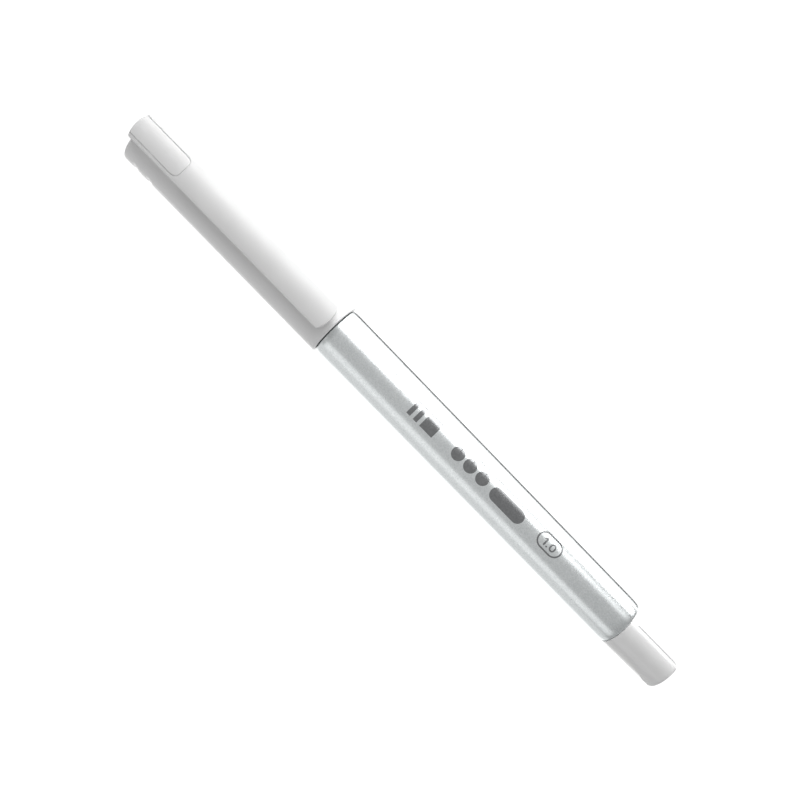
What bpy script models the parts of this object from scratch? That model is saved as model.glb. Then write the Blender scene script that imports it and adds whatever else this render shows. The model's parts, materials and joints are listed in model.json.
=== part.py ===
"""Capped gel ink pen with a pocket clip, in metres, +Z up.

The pen lies along X with its cap towards -X, its tail plug towards +X and its clip on top. The
origin is under the middle of the pen, on the surface that the cap rests on. Lengths along the pen
are measured from its middle. Radii are measured from its axis, which is AXIS_Z above the surface.
"""
import math

import bmesh
import bpy
from mathutils import Vector

MM = 0.001

# Overall shape
HALF_LENGTH = 75.0 * MM
CAP_RADIUS_END = 5.95 * MM
CAP_RADIUS_MOUTH = 5.85 * MM
AXIS_Z = CAP_RADIUS_END

# Gaps between neighbouring pieces
GAP = 0.3 * MM
FIT = 0.1 * MM
SKIN = 0.05 * MM

# Facets around turned pieces
OUTER_FACETS = 48
INNER_FACETS = 32
FINE_FACETS = 24

# Barrel: a slightly tapered tube
BARREL_FRONT = -20.2 * MM
BARREL_REAR = 61.9 * MM
BARREL_RADIUS_FRONT = 5.49 * MM
BARREL_RADIUS_REAR = 5.17 * MM
BARREL_BORE = 4.3 * MM
BARREL_FRONT_ROUND = 0.3 * MM
BARREL_REAR_ROUND = 0.7 * MM

# Tail plug: a tapered stub with one flatter flank, on a sleeve that is pressed into the barrel
TAIL_ROOT = BARREL_REAR + 0.2 * MM
TAIL_END = HALF_LENGTH
TAIL_RADIUS_ROOT = 5.1 * MM
TAIL_RADIUS_END = 4.75 * MM
TAIL_FLANK = 2.32 * MM
TAIL_FLANK_RADIUS = 14.0 * MM
TAIL_CORNER = 1.2 * MM
TAIL_EDGE_ROUND = 0.6 * MM
TAIL_SLEEVE_START = 46.0 * MM
TAIL_SLEEVE_RADIUS = BARREL_BORE - FIT
TAIL_SLEEVE_BORE = 3.15 * MM
TAIL_SLEEVE_FLOOR = 60.4 * MM
TAIL_CORE_RADIUS = 1.3 * MM
TAIL_CORE_FLOOR = 73.0 * MM

# Front section: threaded shank inside the barrel, collar, grip seat and front nipple
SHANK_END = -8.0 * MM
SHANK_RADIUS = BARREL_BORE - FIT
THREAD_START = -19.0 * MM
THREAD_PITCH = 1.25 * MM
THREAD_TURNS = 6
THREAD_DEPTH = 0.3 * MM
COLLAR_REAR = BARREL_FRONT - GAP
COLLAR_FRONT = -25.0 * MM
COLLAR_RADIUS = 4.7 * MM
GRIP_SEAT_RADIUS = 3.7 * MM
GRIP_SEAT_FRONT = -47.7 * MM
LAND_RADIUS = 4.2 * MM
LAND_FRONT = -48.7 * MM
NIPPLE_RADIUS = 3.35 * MM
NIPPLE_FRONT = -53.8 * MM
SECTION_BORE = 3.1 * MM

# Grip sleeve: soft rubber with grooves around it
GRIP_RADIUS = 4.5 * MM
GRIP_GROOVES = 9
GRIP_GROOVE_WIDTH = 0.9 * MM
GRIP_GROOVE_DEPTH = 0.35 * MM
GRIP_MARGIN = 1.4 * MM

# Nose cone, screwed over the nipple
CONE_REAR = LAND_FRONT - 0.2 * MM
CONE_SHOULDER = -52.5 * MM
CONE_FRONT = -64.8 * MM
CONE_RADIUS_REAR = 4.2 * MM
CONE_RADIUS_SHOULDER = 4.05 * MM
CONE_RADIUS_FRONT = 1.5 * MM
CONE_HOLE = 1.2 * MM
CONE_HOLE_LENGTH = 2.0 * MM
CONE_STEP = NIPPLE_FRONT - GAP
CONE_STEP_RADIUS = 2.95 * MM

# Refill: tube, connector, writing point, ball, ball spring, ink and end plug
REFILL_RADIUS = 2.9 * MM
REFILL_BORE = 2.4 * MM
REFILL_FRONT = -50.0 * MM
REFILL_REAR = 48.0 * MM
HOLDER_FRONT = -61.5 * MM
HOLDER_REAR = -44.0 * MM
HOLDER_SOCKET_FLOOR = -58.2 * MM
HOLDER_BORE = 0.75 * MM
HOLDER_NOSE_RADIUS = 1.4 * MM
HOLDER_NECK_RADIUS = 2.3 * MM
HOLDER_FLANGE_FRONT = -51.8 * MM
POINT_RADIUS = 1.0 * MM
POINT_REAR = HOLDER_SOCKET_FLOOR - FIT
POINT_TAPER = -64.3 * MM
POINT_RIM_RADIUS = 0.58 * MM
POINT_BORE = 0.3 * MM
BALL_RADIUS = 0.5 * MM
BALL_X = -66.2 * MM
BALL_CLEARANCE = 0.03 * MM
SPRING_RADIUS = 0.45 * MM
SPRING_WIRE = 0.08 * MM
SPRING_REAR = -50.5 * MM
SPRING_FRONT = -57.4 * MM
SPRING_TURNS = 7
SPRING_POINTS_PER_TURN = 9
INK_RADIUS = 2.3 * MM
INK_REAR = 6.0 * MM
FOLLOWER_LENGTH = 6.0 * MM
END_PLUG_DEPTH = 1.8 * MM
END_PLUG_HEAD = 1.1 * MM
END_PLUG_VENT = 0.4 * MM

# Cap
CAP_END = -74.65 * MM
CAP_MOUTH = -20.4 * MM
CAP_END_ROUND = 0.45 * MM
CAP_MOUTH_ROUND = 0.2 * MM
CAP_BORE = 4.95 * MM
CAP_BORE_DEEP = 4.62 * MM
CAP_BORE_STEP = -54.0 * MM
CAP_END_WALL = 1.4 * MM
CAP_END_HOLE = 3.3 * MM
SCALLOP_CENTRES = (-71.4 * MM, -67.5 * MM)
SCALLOP_RADIUS = 1.7 * MM
SCALLOP_DEPTH = 0.38 * MM
SCALLOP_REACH = 3.0 * MM
CAP_PLUG_RADIUS = CAP_END_HOLE - FIT
CAP_PLUG_FLANGE = CAP_BORE_DEEP - 0.2 * MM
CAP_PLUG_REAR = -71.9 * MM
CAP_PLUG_VENT = 0.8 * MM

# Inner cap and its seal pad
LINER_END = -71.6 * MM
LINER_FLANGE = 1.0 * MM
LINER_FLANGE_RADIUS = CAP_BORE_DEEP - FIT
LINER_RADIUS = 3.95 * MM
LINER_MOUTH = -57.4 * MM
LINER_MOUTH_BORE = 3.4 * MM
LINER_POCKET_FLOOR = -69.7 * MM
PAD_RADIUS = 1.5 * MM
PAD_FRONT = -66.95 * MM

# Clip: root block, inlay panel and springy blade, with one crowned face
CLIP_HALF_WIDTH = 3.1 * MM
CLIP_TOP = 8.3 * MM
CLIP_CROWN = 9.0 * MM
CLIP_END = -HALF_LENGTH
CLIP_TIP = -21.6 * MM
CLIP_HINGE = -60.0 * MM
CLIP_HINGE_HEIGHT = 7.5 * MM
CLIP_THICKNESS = 1.3 * MM
CLIP_EDGE_ROUND = 0.35 * MM
# The clip's sides lean in by 5 degrees towards the cap.
CLIP_SIDE_LEAN = math.tan(math.radians(5.0))
CLIP_END_BULGE = 0.75 * MM
CLIP_TIP_BULGE = 1.2 * MM
CLIP_BUMP_X = -24.5 * MM
CLIP_BUMP_RADIUS = 1.2 * MM
CLIP_BUMP_DROP = 0.6 * MM
PANEL_HALF_WIDTH = 2.32 * MM
PANEL_INNER_END = -62.0 * MM
PANEL_CORNER = 1.3 * MM
PANEL_GROOVE = 0.28 * MM
PANEL_DEPTH = 0.9 * MM


def clear_scene():
    """Remove every object, so that the file holds only the pen."""
    for obj in list(bpy.data.objects):
        bpy.data.objects.remove(obj, do_unlink=True)


def material(name, colour, roughness, metallic=0.0):
    """Make one Principled material."""
    mat = bpy.data.materials.new(name)
    mat.use_nodes = True
    shader = mat.node_tree.nodes["Principled BSDF"]
    shader.inputs["Base Color"].default_value = (*colour, 1.0)
    shader.inputs["Roughness"].default_value = roughness
    shader.inputs["Metallic"].default_value = metallic
    mat.diffuse_color = (*colour, 1.0)
    return mat


def empty(name, location, parent=None):
    """Add an empty that marks a joint's axis and carries the pieces that move on it."""
    guide = bpy.data.objects.new(name, None)
    guide.empty_display_size = 5.0 * MM
    bpy.context.collection.objects.link(guide)
    guide.location = location
    guide.parent = parent
    return guide


def finish_object(name, mesh, parent, mat, smooth=True):
    """Link a finished mesh as a named object under its parent."""
    obj = bpy.data.objects.new(name, mesh)
    bpy.context.collection.objects.link(obj)
    obj.parent = parent
    mesh.materials.append(mat)
    if smooth:
        mesh.shade_smooth()
        mesh.set_sharp_from_angle(angle=math.radians(35.0))
    return obj


def arc(centre, radius, start, end, steps):
    """Points on a circular arc in the profile plane, from start to end in degrees."""
    points = []
    for step in range(steps + 1):
        angle = math.radians(start + (end - start) * step / steps)
        points.append((centre[0] + radius * math.cos(angle), centre[1] + radius * math.sin(angle)))
    return points


def spin_mesh(name, profile, facets, closed):
    """Turn a profile of (x, radius) points about the X axis.

    A closed profile makes a ring or tube. An open one starts and ends on the axis.
    """
    bm = bmesh.new()
    verts = [bm.verts.new((x, 0.0, radius)) for x, radius in profile]
    edges = [bm.edges.new(pair) for pair in zip(verts, verts[1:])]
    if closed:
        edges.append(bm.edges.new((verts[-1], verts[0])))
    bmesh.ops.spin(bm, geom=verts + edges, cent=(0, 0, 0), axis=(1, 0, 0), angle=math.tau,
                   steps=facets, use_duplicate=False)
    bmesh.ops.remove_doubles(bm, verts=bm.verts, dist=0.001 * MM)
    bmesh.ops.recalc_face_normals(bm, faces=bm.faces)
    mesh = bpy.data.meshes.new(name)
    bm.to_mesh(mesh)
    bm.free()
    return mesh


def turned(name, profile, facets, parent, mat, closed=True):
    """One turned piece on the pen's axis."""
    return finish_object(name, spin_mesh(name, profile, facets, closed), parent, mat)


def prism_mesh(name, outline, depth):
    """Extrude a closed outline of 3-D points by the vector depth."""
    bm = bmesh.new()
    verts = [bm.verts.new(point) for point in outline]
    face = bm.faces.new(verts)
    moved = bmesh.ops.extrude_face_region(bm, geom=[face])["geom"]
    bmesh.ops.translate(bm, vec=depth, verts=[v for v in moved if isinstance(v, bmesh.types.BMVert)])
    bmesh.ops.recalc_face_normals(bm, faces=bm.faces)
    mesh = bpy.data.meshes.new(name)
    bm.to_mesh(mesh)
    bm.free()
    return mesh


def loft_mesh(name, rings):
    """Join rings of equal length into one closed skin with flat ends."""
    bm = bmesh.new()
    loops = [[bm.verts.new(point) for point in ring] for ring in rings]
    for lower, upper in zip(loops, loops[1:]):
        for index, vert in enumerate(lower):
            after = (index + 1) % len(lower)
            bm.faces.new((vert, lower[after], upper[after], upper[index]))
    bm.faces.new(loops[0])
    bm.faces.new(loops[-1])
    bmesh.ops.recalc_face_normals(bm, faces=bm.faces)
    mesh = bpy.data.meshes.new(name)
    bm.to_mesh(mesh)
    bm.free()
    return mesh


def cutter(name, mesh, parent):
    """A hidden body that only shapes others."""
    obj = bpy.data.objects.new(name, mesh)
    bpy.context.collection.objects.link(obj)
    obj.parent = parent
    obj.hide_render = True
    obj.display_type = "WIRE"
    return obj


def boolean(obj, other, operation):
    """Cut or join obj with other by an exact Boolean."""
    modifier = obj.modifiers.new(f"{operation.lower()}_{other.name}", "BOOLEAN")
    modifier.operation = operation
    modifier.solver = "EXACT"
    modifier.object = other


def make_barrel_tube(parent, mat):
    profile = [(BARREL_FRONT, BARREL_BORE)]
    profile += arc((BARREL_FRONT + BARREL_FRONT_ROUND, BARREL_RADIUS_FRONT - BARREL_FRONT_ROUND),
                   BARREL_FRONT_ROUND, 180, 90, 3)
    profile += arc((BARREL_REAR - BARREL_REAR_ROUND, BARREL_RADIUS_REAR - BARREL_REAR_ROUND),
                   BARREL_REAR_ROUND, 90, 0, 4)
    profile.append((BARREL_REAR, BARREL_BORE))
    turned("barrel_tube", profile, OUTER_FACETS, parent, mat)


def flanked_ring(x, shrink, radius):
    """Cross-section of the tail stub: a circle whose +Y side is a flatter arc, with round corners.

    Shrink draws the whole outline inwards by an equal distance.
    """
    radius -= shrink
    corner = TAIL_CORNER - shrink
    flank_radius = TAIL_FLANK_RADIUS - shrink
    flank_y = TAIL_FLANK - TAIL_FLANK_RADIUS
    centre_y = (flank_y ** 2 + (radius - corner) ** 2 - (flank_radius - corner) ** 2) / (2 * flank_y)
    centre_z = math.sqrt((radius - corner) ** 2 - centre_y ** 2)
    body_angle = math.degrees(math.atan2(centre_z, centre_y))
    flank_angle = math.degrees(math.atan2(centre_z, centre_y - flank_y))
    ring = arc((flank_y, 0), flank_radius, 0, flank_angle, 3)
    ring += arc((centre_y, centre_z), corner, flank_angle, body_angle, 5)[1:]
    ring += arc((0, 0), radius, body_angle, 360 - body_angle, 34)[1:]
    ring += arc((centre_y, -centre_z), corner, 360 - body_angle, 360 - flank_angle, 5)[1:]
    ring += arc((flank_y, 0), flank_radius, 360 - flank_angle, 360, 3)[1:-1]
    return [Vector((x, y, z)) for y, z in ring]


def make_tail_plug(parent, mat):
    rings = [flanked_ring(TAIL_ROOT, 0.0, TAIL_RADIUS_ROOT)]
    start = TAIL_END - TAIL_EDGE_ROUND
    for x, inset in arc((start, 0), TAIL_EDGE_ROUND, 0, 90, 4)[::-1]:
        rings.append(flanked_ring(x, TAIL_EDGE_ROUND - inset, TAIL_RADIUS_END))
    plug = finish_object("tail_plug", loft_mesh("tail_plug", rings), parent, mat)
    overlap = 0.5 * MM
    sleeve = spin_mesh("tail_sleeve", [
        (TAIL_SLEEVE_START, 0.0),
        (TAIL_SLEEVE_START, TAIL_SLEEVE_RADIUS - 0.4 * MM),
        (TAIL_SLEEVE_START + 0.4 * MM, TAIL_SLEEVE_RADIUS),
        (TAIL_ROOT, TAIL_SLEEVE_RADIUS),
        (TAIL_ROOT, TAIL_FLANK - overlap),
        (TAIL_ROOT + overlap, TAIL_FLANK - overlap),
        (TAIL_ROOT + overlap, 0.0)], OUTER_FACETS, False)
    boolean(plug, cutter("tail_sleeve_body", sleeve, parent), "UNION")
    bore = spin_mesh("tail_bore", [
        (TAIL_SLEEVE_START - GAP, 0.0),
        (TAIL_SLEEVE_START - GAP, TAIL_SLEEVE_BORE),
        (TAIL_SLEEVE_FLOOR, TAIL_SLEEVE_BORE),
        (TAIL_SLEEVE_FLOOR, TAIL_CORE_RADIUS),
        (TAIL_CORE_FLOOR, TAIL_CORE_RADIUS),
        (TAIL_CORE_FLOOR, 0.0)], FINE_FACETS, False)
    boolean(plug, cutter("tail_bore_cutter", bore, parent), "DIFFERENCE")


def make_front_section(parent, mat):
    profile = [(SHANK_END, SECTION_BORE), (SHANK_END, SHANK_RADIUS - THREAD_DEPTH)]
    for turn in range(THREAD_TURNS, 0, -1):
        crest = THREAD_START + turn * THREAD_PITCH
        profile.append((crest, SHANK_RADIUS))
        profile.append((crest - THREAD_PITCH / 2, SHANK_RADIUS - THREAD_DEPTH))
    profile += [(THREAD_START, SHANK_RADIUS), (COLLAR_REAR, SHANK_RADIUS),
                (COLLAR_REAR, COLLAR_RADIUS), (COLLAR_FRONT, COLLAR_RADIUS),
                (COLLAR_FRONT, GRIP_SEAT_RADIUS), (GRIP_SEAT_FRONT, GRIP_SEAT_RADIUS),
                (GRIP_SEAT_FRONT, LAND_RADIUS), (LAND_FRONT, LAND_RADIUS),
                (LAND_FRONT, NIPPLE_RADIUS), (NIPPLE_FRONT, NIPPLE_RADIUS),
                (NIPPLE_FRONT, SECTION_BORE)]
    turned("front_section", profile, INNER_FACETS, parent, mat)


def make_grip_sleeve(parent, mat):
    front = GRIP_SEAT_FRONT + FIT
    rear = COLLAR_FRONT - FIT
    inner = GRIP_SEAT_RADIUS + FIT
    profile = [(front, inner), (front, LAND_RADIUS)]
    pitch = (rear - front - 2 * GRIP_MARGIN) / GRIP_GROOVES
    for groove in range(GRIP_GROOVES):
        middle = front + GRIP_MARGIN + (groove + 0.5) * pitch
        profile.append((middle - GRIP_GROOVE_WIDTH / 2, GRIP_RADIUS))
        profile.append((middle, GRIP_RADIUS - GRIP_GROOVE_DEPTH))
        profile.append((middle + GRIP_GROOVE_WIDTH / 2, GRIP_RADIUS))
    profile += [(rear, GRIP_RADIUS), (rear, inner)]
    turned("grip_sleeve", profile, INNER_FACETS, parent, mat)


def make_nose_cone(parent, mat):
    rounding = 0.3 * MM
    profile = [(CONE_REAR, NIPPLE_RADIUS + FIT), (CONE_REAR, CONE_RADIUS_REAR),
               (CONE_SHOULDER, CONE_RADIUS_SHOULDER),
               (CONE_FRONT + rounding, CONE_RADIUS_FRONT + rounding / 4),
               (CONE_FRONT, CONE_RADIUS_FRONT - rounding / 2), (CONE_FRONT, CONE_HOLE),
               (CONE_FRONT + CONE_HOLE_LENGTH, CONE_HOLE), (CONE_STEP, CONE_STEP_RADIUS),
               (CONE_STEP, NIPPLE_RADIUS + FIT)]
    turned("nose_cone", profile, OUTER_FACETS, parent, mat)


def make_refill_tube(parent, mat):
    turned("refill_tube", [(REFILL_FRONT, REFILL_BORE), (REFILL_FRONT, REFILL_RADIUS),
                           (REFILL_REAR, REFILL_RADIUS), (REFILL_REAR, REFILL_BORE)],
           FINE_FACETS, parent, mat)


def make_refill_end_plug(parent, mat):
    head = REFILL_REAR + FIT
    turned("refill_end_plug", [(REFILL_REAR - END_PLUG_DEPTH, END_PLUG_VENT),
                               (REFILL_REAR - END_PLUG_DEPTH, REFILL_BORE - FIT),
                               (head, REFILL_BORE - FIT), (head, REFILL_RADIUS),
                               (head + END_PLUG_HEAD, REFILL_RADIUS),
                               (head + END_PLUG_HEAD, END_PLUG_VENT)],
           FINE_FACETS, parent, mat)


def make_tip_holder(parent, mat):
    flange_rear = REFILL_FRONT - FIT
    turned("tip_holder", [(HOLDER_FRONT, POINT_RADIUS + FIT), (HOLDER_FRONT, HOLDER_NOSE_RADIUS),
                          (CONE_STEP, HOLDER_NECK_RADIUS), (HOLDER_FLANGE_FRONT, HOLDER_NECK_RADIUS),
                          (HOLDER_FLANGE_FRONT, REFILL_RADIUS), (flange_rear, REFILL_RADIUS),
                          (flange_rear, REFILL_BORE - FIT), (HOLDER_REAR, REFILL_BORE - 2 * FIT),
                          (HOLDER_REAR, HOLDER_BORE), (HOLDER_SOCKET_FLOOR, HOLDER_BORE),
                          (HOLDER_SOCKET_FLOOR, POINT_RADIUS + FIT)],
           FINE_FACETS, parent, mat)


def make_writing_point(parent, mat):
    """Metal point with a socket that holds the ball behind a turned-in lip."""
    socket = BALL_RADIUS + BALL_CLEARANCE
    seat = BALL_X + 0.45 * MM
    lip = BALL_X - 0.25 * MM
    turned("writing_point", [(lip, 0.47 * MM), (lip, POINT_RIM_RADIUS), (POINT_TAPER, POINT_RADIUS),
                             (POINT_REAR, POINT_RADIUS), (POINT_REAR, POINT_BORE),
                             (seat + 0.3 * MM, POINT_BORE), (seat, socket * 0.8),
                             (seat - 0.15 * MM, socket), (BALL_X, socket)],
           FINE_FACETS, parent, mat)


def make_point_ball(parent, mat):
    bm = bmesh.new()
    bmesh.ops.create_uvsphere(bm, u_segments=16, v_segments=10, radius=BALL_RADIUS)
    mesh = bpy.data.meshes.new("point_ball")
    bm.to_mesh(mesh)
    bm.free()
    finish_object("point_ball", mesh, parent, mat)


def make_ball_spring(parent, mat):
    """Fine coil in the holder, whose straightened front end reaches the ball."""
    points = []
    count = SPRING_TURNS * SPRING_POINTS_PER_TURN
    for index in range(count + 1):
        share = index / count
        angle = math.tau * SPRING_TURNS * share
        x = SPRING_REAR + (SPRING_FRONT - SPRING_REAR) * share
        points.append((x, SPRING_RADIUS * math.sin(angle), SPRING_RADIUS * math.cos(angle)))
    points.append((SPRING_FRONT - 0.6 * MM, 0.0, 0.0))
    points.append((BALL_X + BALL_RADIUS + 0.05 * MM, 0.0, 0.0))
    curve = bpy.data.curves.new("ball_spring", "CURVE")
    curve.dimensions = "3D"
    curve.bevel_depth = SPRING_WIRE
    curve.bevel_resolution = 1
    curve.use_fill_caps = True
    spline = curve.splines.new("POLY")
    spline.points.add(len(points) - 1)
    for target, point in zip(spline.points, points):
        target.co = (*point, 1.0)
    obj = bpy.data.objects.new("ball_spring", curve)
    bpy.context.collection.objects.link(obj)
    obj.parent = parent
    curve.materials.append(mat)


def make_plain_rod(name, front, rear, radius, parent, mat):
    """A short solid rod on the axis."""
    turned(name, [(front, 0.0), (front, radius), (rear, radius), (rear, 0.0)],
           FINE_FACETS, parent, mat, closed=False)


def scallop_mesh(centre, side):
    """Upright rod that hollows the cap's side a little, at one side of the pen."""
    middle_y = side * (CAP_RADIUS_END - SCALLOP_DEPTH + SCALLOP_RADIUS)
    outline = arc((centre, middle_y), SCALLOP_RADIUS, 0, 360, 24)[:-1]
    return prism_mesh("scallop", [Vector((x, y, -SCALLOP_REACH)) for x, y in outline],
                      Vector((0, 0, 2 * SCALLOP_REACH)))


def make_cap_shell(parent, mat):
    profile = [(CAP_END, CAP_END_HOLE)]
    profile += arc((CAP_END + CAP_END_ROUND, CAP_RADIUS_END - CAP_END_ROUND), CAP_END_ROUND,
                   180, 90, 3)
    profile += arc((CAP_MOUTH - CAP_MOUTH_ROUND, CAP_RADIUS_MOUTH - CAP_MOUTH_ROUND),
                   CAP_MOUTH_ROUND, 90, 0, 2)
    chamfer = 0.2 * MM
    profile += [(CAP_MOUTH, CAP_BORE + chamfer), (CAP_MOUTH - 2 * chamfer, CAP_BORE),
                (CAP_BORE_STEP, CAP_BORE), (CAP_BORE_STEP - 2 * chamfer, CAP_BORE_DEEP),
                (CAP_END + CAP_END_WALL, CAP_BORE_DEEP), (CAP_END + CAP_END_WALL, CAP_END_HOLE)]
    shell = turned("cap_shell", profile, OUTER_FACETS, parent, mat)
    for number, centre in enumerate(SCALLOP_CENTRES, start=1):
        for name, side in (("near", -1), ("far", 1)):
            tool = cutter(f"scallop_cutter_{name}_{number}", scallop_mesh(centre, side), parent)
            boolean(shell, tool, "DIFFERENCE")


def make_cap_end_plug(parent, mat):
    front = CAP_END + FIT
    flange_front = CAP_END + CAP_END_WALL + FIT
    turned("cap_end_plug", [(front, CAP_PLUG_VENT), (front, CAP_PLUG_RADIUS),
                            (flange_front, CAP_PLUG_RADIUS), (flange_front, CAP_PLUG_FLANGE),
                            (CAP_PLUG_REAR, CAP_PLUG_FLANGE), (CAP_PLUG_REAR, CAP_PLUG_VENT)],
           INNER_FACETS, parent, mat)


def make_inner_cap(parent, mat):
    flange_rear = LINER_END + LINER_FLANGE
    pocket = PAD_RADIUS + FIT
    turned("inner_cap", [(LINER_END, 0.0), (LINER_END, LINER_FLANGE_RADIUS),
                         (flange_rear, LINER_FLANGE_RADIUS), (flange_rear, LINER_RADIUS),
                         (LINER_MOUTH, LINER_RADIUS), (LINER_MOUTH, LINER_MOUTH_BORE),
                         (CONE_FRONT + 0.8 * MM, 2.05 * MM), (CONE_FRONT - 0.2 * MM, 1.75 * MM),
                         (CONE_FRONT - 1.2 * MM, pocket), (LINER_POCKET_FLOOR, pocket),
                         (LINER_POCKET_FLOOR, 0.0)],
           INNER_FACETS, parent, mat, closed=False)


def clip_section(x, half_width, bottom):
    """Cross-section of the clip at x: crowned top with rounded edges, leaning sides and a flat bottom."""
    top_centre = CLIP_TOP - CLIP_CROWN
    reach = CLIP_CROWN - CLIP_EDGE_ROUND
    edge_angle = math.asin((half_width - CLIP_EDGE_ROUND) / reach)
    edge_y = reach * math.sin(edge_angle)
    edge_z = top_centre + reach * math.cos(edge_angle)
    lean = math.degrees(edge_angle)
    right = arc((edge_y, edge_z), CLIP_EDGE_ROUND, 0, 90 - lean, 3)
    top = arc((0, top_centre), CLIP_CROWN, 90 - lean, 90 + lean, 8)[1:-1]
    left = arc((-edge_y, edge_z), CLIP_EDGE_ROUND, 90 + lean, 180, 3)
    base = half_width - CLIP_SIDE_LEAN * (edge_z - bottom)
    ring = [(base, bottom)] + right + top + left + [(-base, bottom)]
    return [Vector((x, y, z)) for y, z in ring]


def bulged_end(end, bulge, direction):
    """Places along one end of the clip, with how far its side is drawn in there.

    Seen from above the end is half an ellipse, which reaches bulge past where its side is straight.
    """
    first = 10.0
    steps = 6
    places = []
    for step in range(steps + 1):
        angle = math.radians(first + (90.0 - first) * step / steps)
        x = end - direction * bulge * (math.cos(math.radians(first)) - math.cos(angle))
        places.append((x, CLIP_HALF_WIDTH * (1 - math.sin(angle))))
    return places[::-1] if direction > 0 else places


def clip_rings(start, end, bulge_start, bulge_end, bottom):
    """Cross-sections from start to end, drawn in where an end is bulged."""
    places = []
    if bulge_start:
        places += bulged_end(start, bulge_start, -1)
    else:
        places.append((start, 0.0))
    if bulge_end:
        places += bulged_end(end, bulge_end, 1)
    else:
        places.append((end, 0.0))
    return [clip_section(x, CLIP_HALF_WIDTH - inset, bottom) for x, inset in places]


def saddle_cutter(parent):
    """The cap's own outside, a little enlarged, which shapes the underside of the clip root."""
    radius = CAP_RADIUS_END + SKIN
    mesh = spin_mesh("saddle", [(CLIP_END - 2.0 * MM, 0.0), (CLIP_END - 2.0 * MM, radius),
                                (CLIP_HINGE + 2.0 * MM, radius), (CLIP_HINGE + 2.0 * MM, 0.0)],
                     2 * OUTER_FACETS, False)
    return cutter("saddle_cutter", mesh, parent)


def panel_outline(half_width, inner_end, corner, z):
    """Plan of the inlay: open at the clip's end, with round corners at its inner end."""
    outline = [(CLIP_END - 1.0 * MM, -half_width)]
    outline += arc((inner_end - corner, -half_width + corner), corner, 270, 360, 5)
    outline += arc((inner_end - corner, half_width - corner), corner, 0, 90, 5)
    outline.append((CLIP_END - 1.0 * MM, half_width))
    return [Vector((x, y, z)) for x, y in outline]


def make_clip_root(parent, mat):
    bottom = CAP_RADIUS_END * 0.75
    rings = clip_rings(CLIP_END, CLIP_HINGE - GAP / 2, CLIP_END_BULGE, 0.0, bottom)
    root = finish_object("clip_root", loft_mesh("clip_root", rings), parent, mat)
    boolean(root, saddle_cutter(parent), "DIFFERENCE")
    floor = CLIP_TOP - PANEL_DEPTH
    pocket = prism_mesh("panel_pocket",
                        panel_outline(PANEL_HALF_WIDTH + PANEL_GROOVE, PANEL_INNER_END + PANEL_GROOVE,
                                      PANEL_CORNER + PANEL_GROOVE, floor),
                        Vector((0, 0, 3.0 * MM)))
    boolean(root, cutter("panel_pocket_cutter", pocket, parent), "DIFFERENCE")


def make_clip_panel(parent, mat):
    """The inlay: the part of the clip's own crowned body that lies inside the panel outline."""
    bottom = CLIP_TOP - PANEL_DEPTH + FIT
    rings = clip_rings(CLIP_END, CLIP_HINGE, CLIP_END_BULGE, 0.0, bottom)
    panel = finish_object("clip_panel", loft_mesh("clip_panel", rings), parent, mat)
    plan = prism_mesh("panel_plan", panel_outline(PANEL_HALF_WIDTH, PANEL_INNER_END, PANEL_CORNER,
                                                  bottom - 1.0 * MM), Vector((0, 0, 4.0 * MM)))
    boolean(panel, cutter("panel_plan_guide", plan, parent), "INTERSECT")


def make_clip_blade(parent, mat):
    """The springy blade, in its own frame with the flexing line at the origin."""
    bottom = CLIP_TOP - CLIP_THICKNESS
    rings = clip_rings(CLIP_HINGE + GAP / 2, CLIP_TIP, 0.0, CLIP_TIP_BULGE, bottom)
    shift = Vector((CLIP_HINGE, 0.0, CLIP_HINGE_HEIGHT))
    rings = [[point - shift for point in ring] for ring in rings]
    blade = finish_object("clip_blade", loft_mesh("clip_blade", rings), parent, mat)
    bm = bmesh.new()
    bmesh.ops.create_uvsphere(bm, u_segments=16, v_segments=8, radius=CLIP_BUMP_RADIUS)
    centre = Vector((CLIP_BUMP_X, 0.0, bottom - CLIP_BUMP_DROP + CLIP_BUMP_RADIUS)) - shift
    bmesh.ops.scale(bm, vec=(1.0, 1.6, 0.95), verts=bm.verts)
    bmesh.ops.translate(bm, vec=centre, verts=bm.verts)
    # The bead's upper half stays inside the blade's thickness.
    top_limit = CLIP_TOP - 0.3 * MM - CLIP_HINGE_HEIGHT
    for vert in bm.verts:
        vert.co.z = min(vert.co.z, top_limit)
    mesh = bpy.data.meshes.new("clip_bead")
    bm.to_mesh(mesh)
    bm.free()
    boolean(blade, cutter("clip_bead_body", mesh, parent), "UNION")


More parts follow.
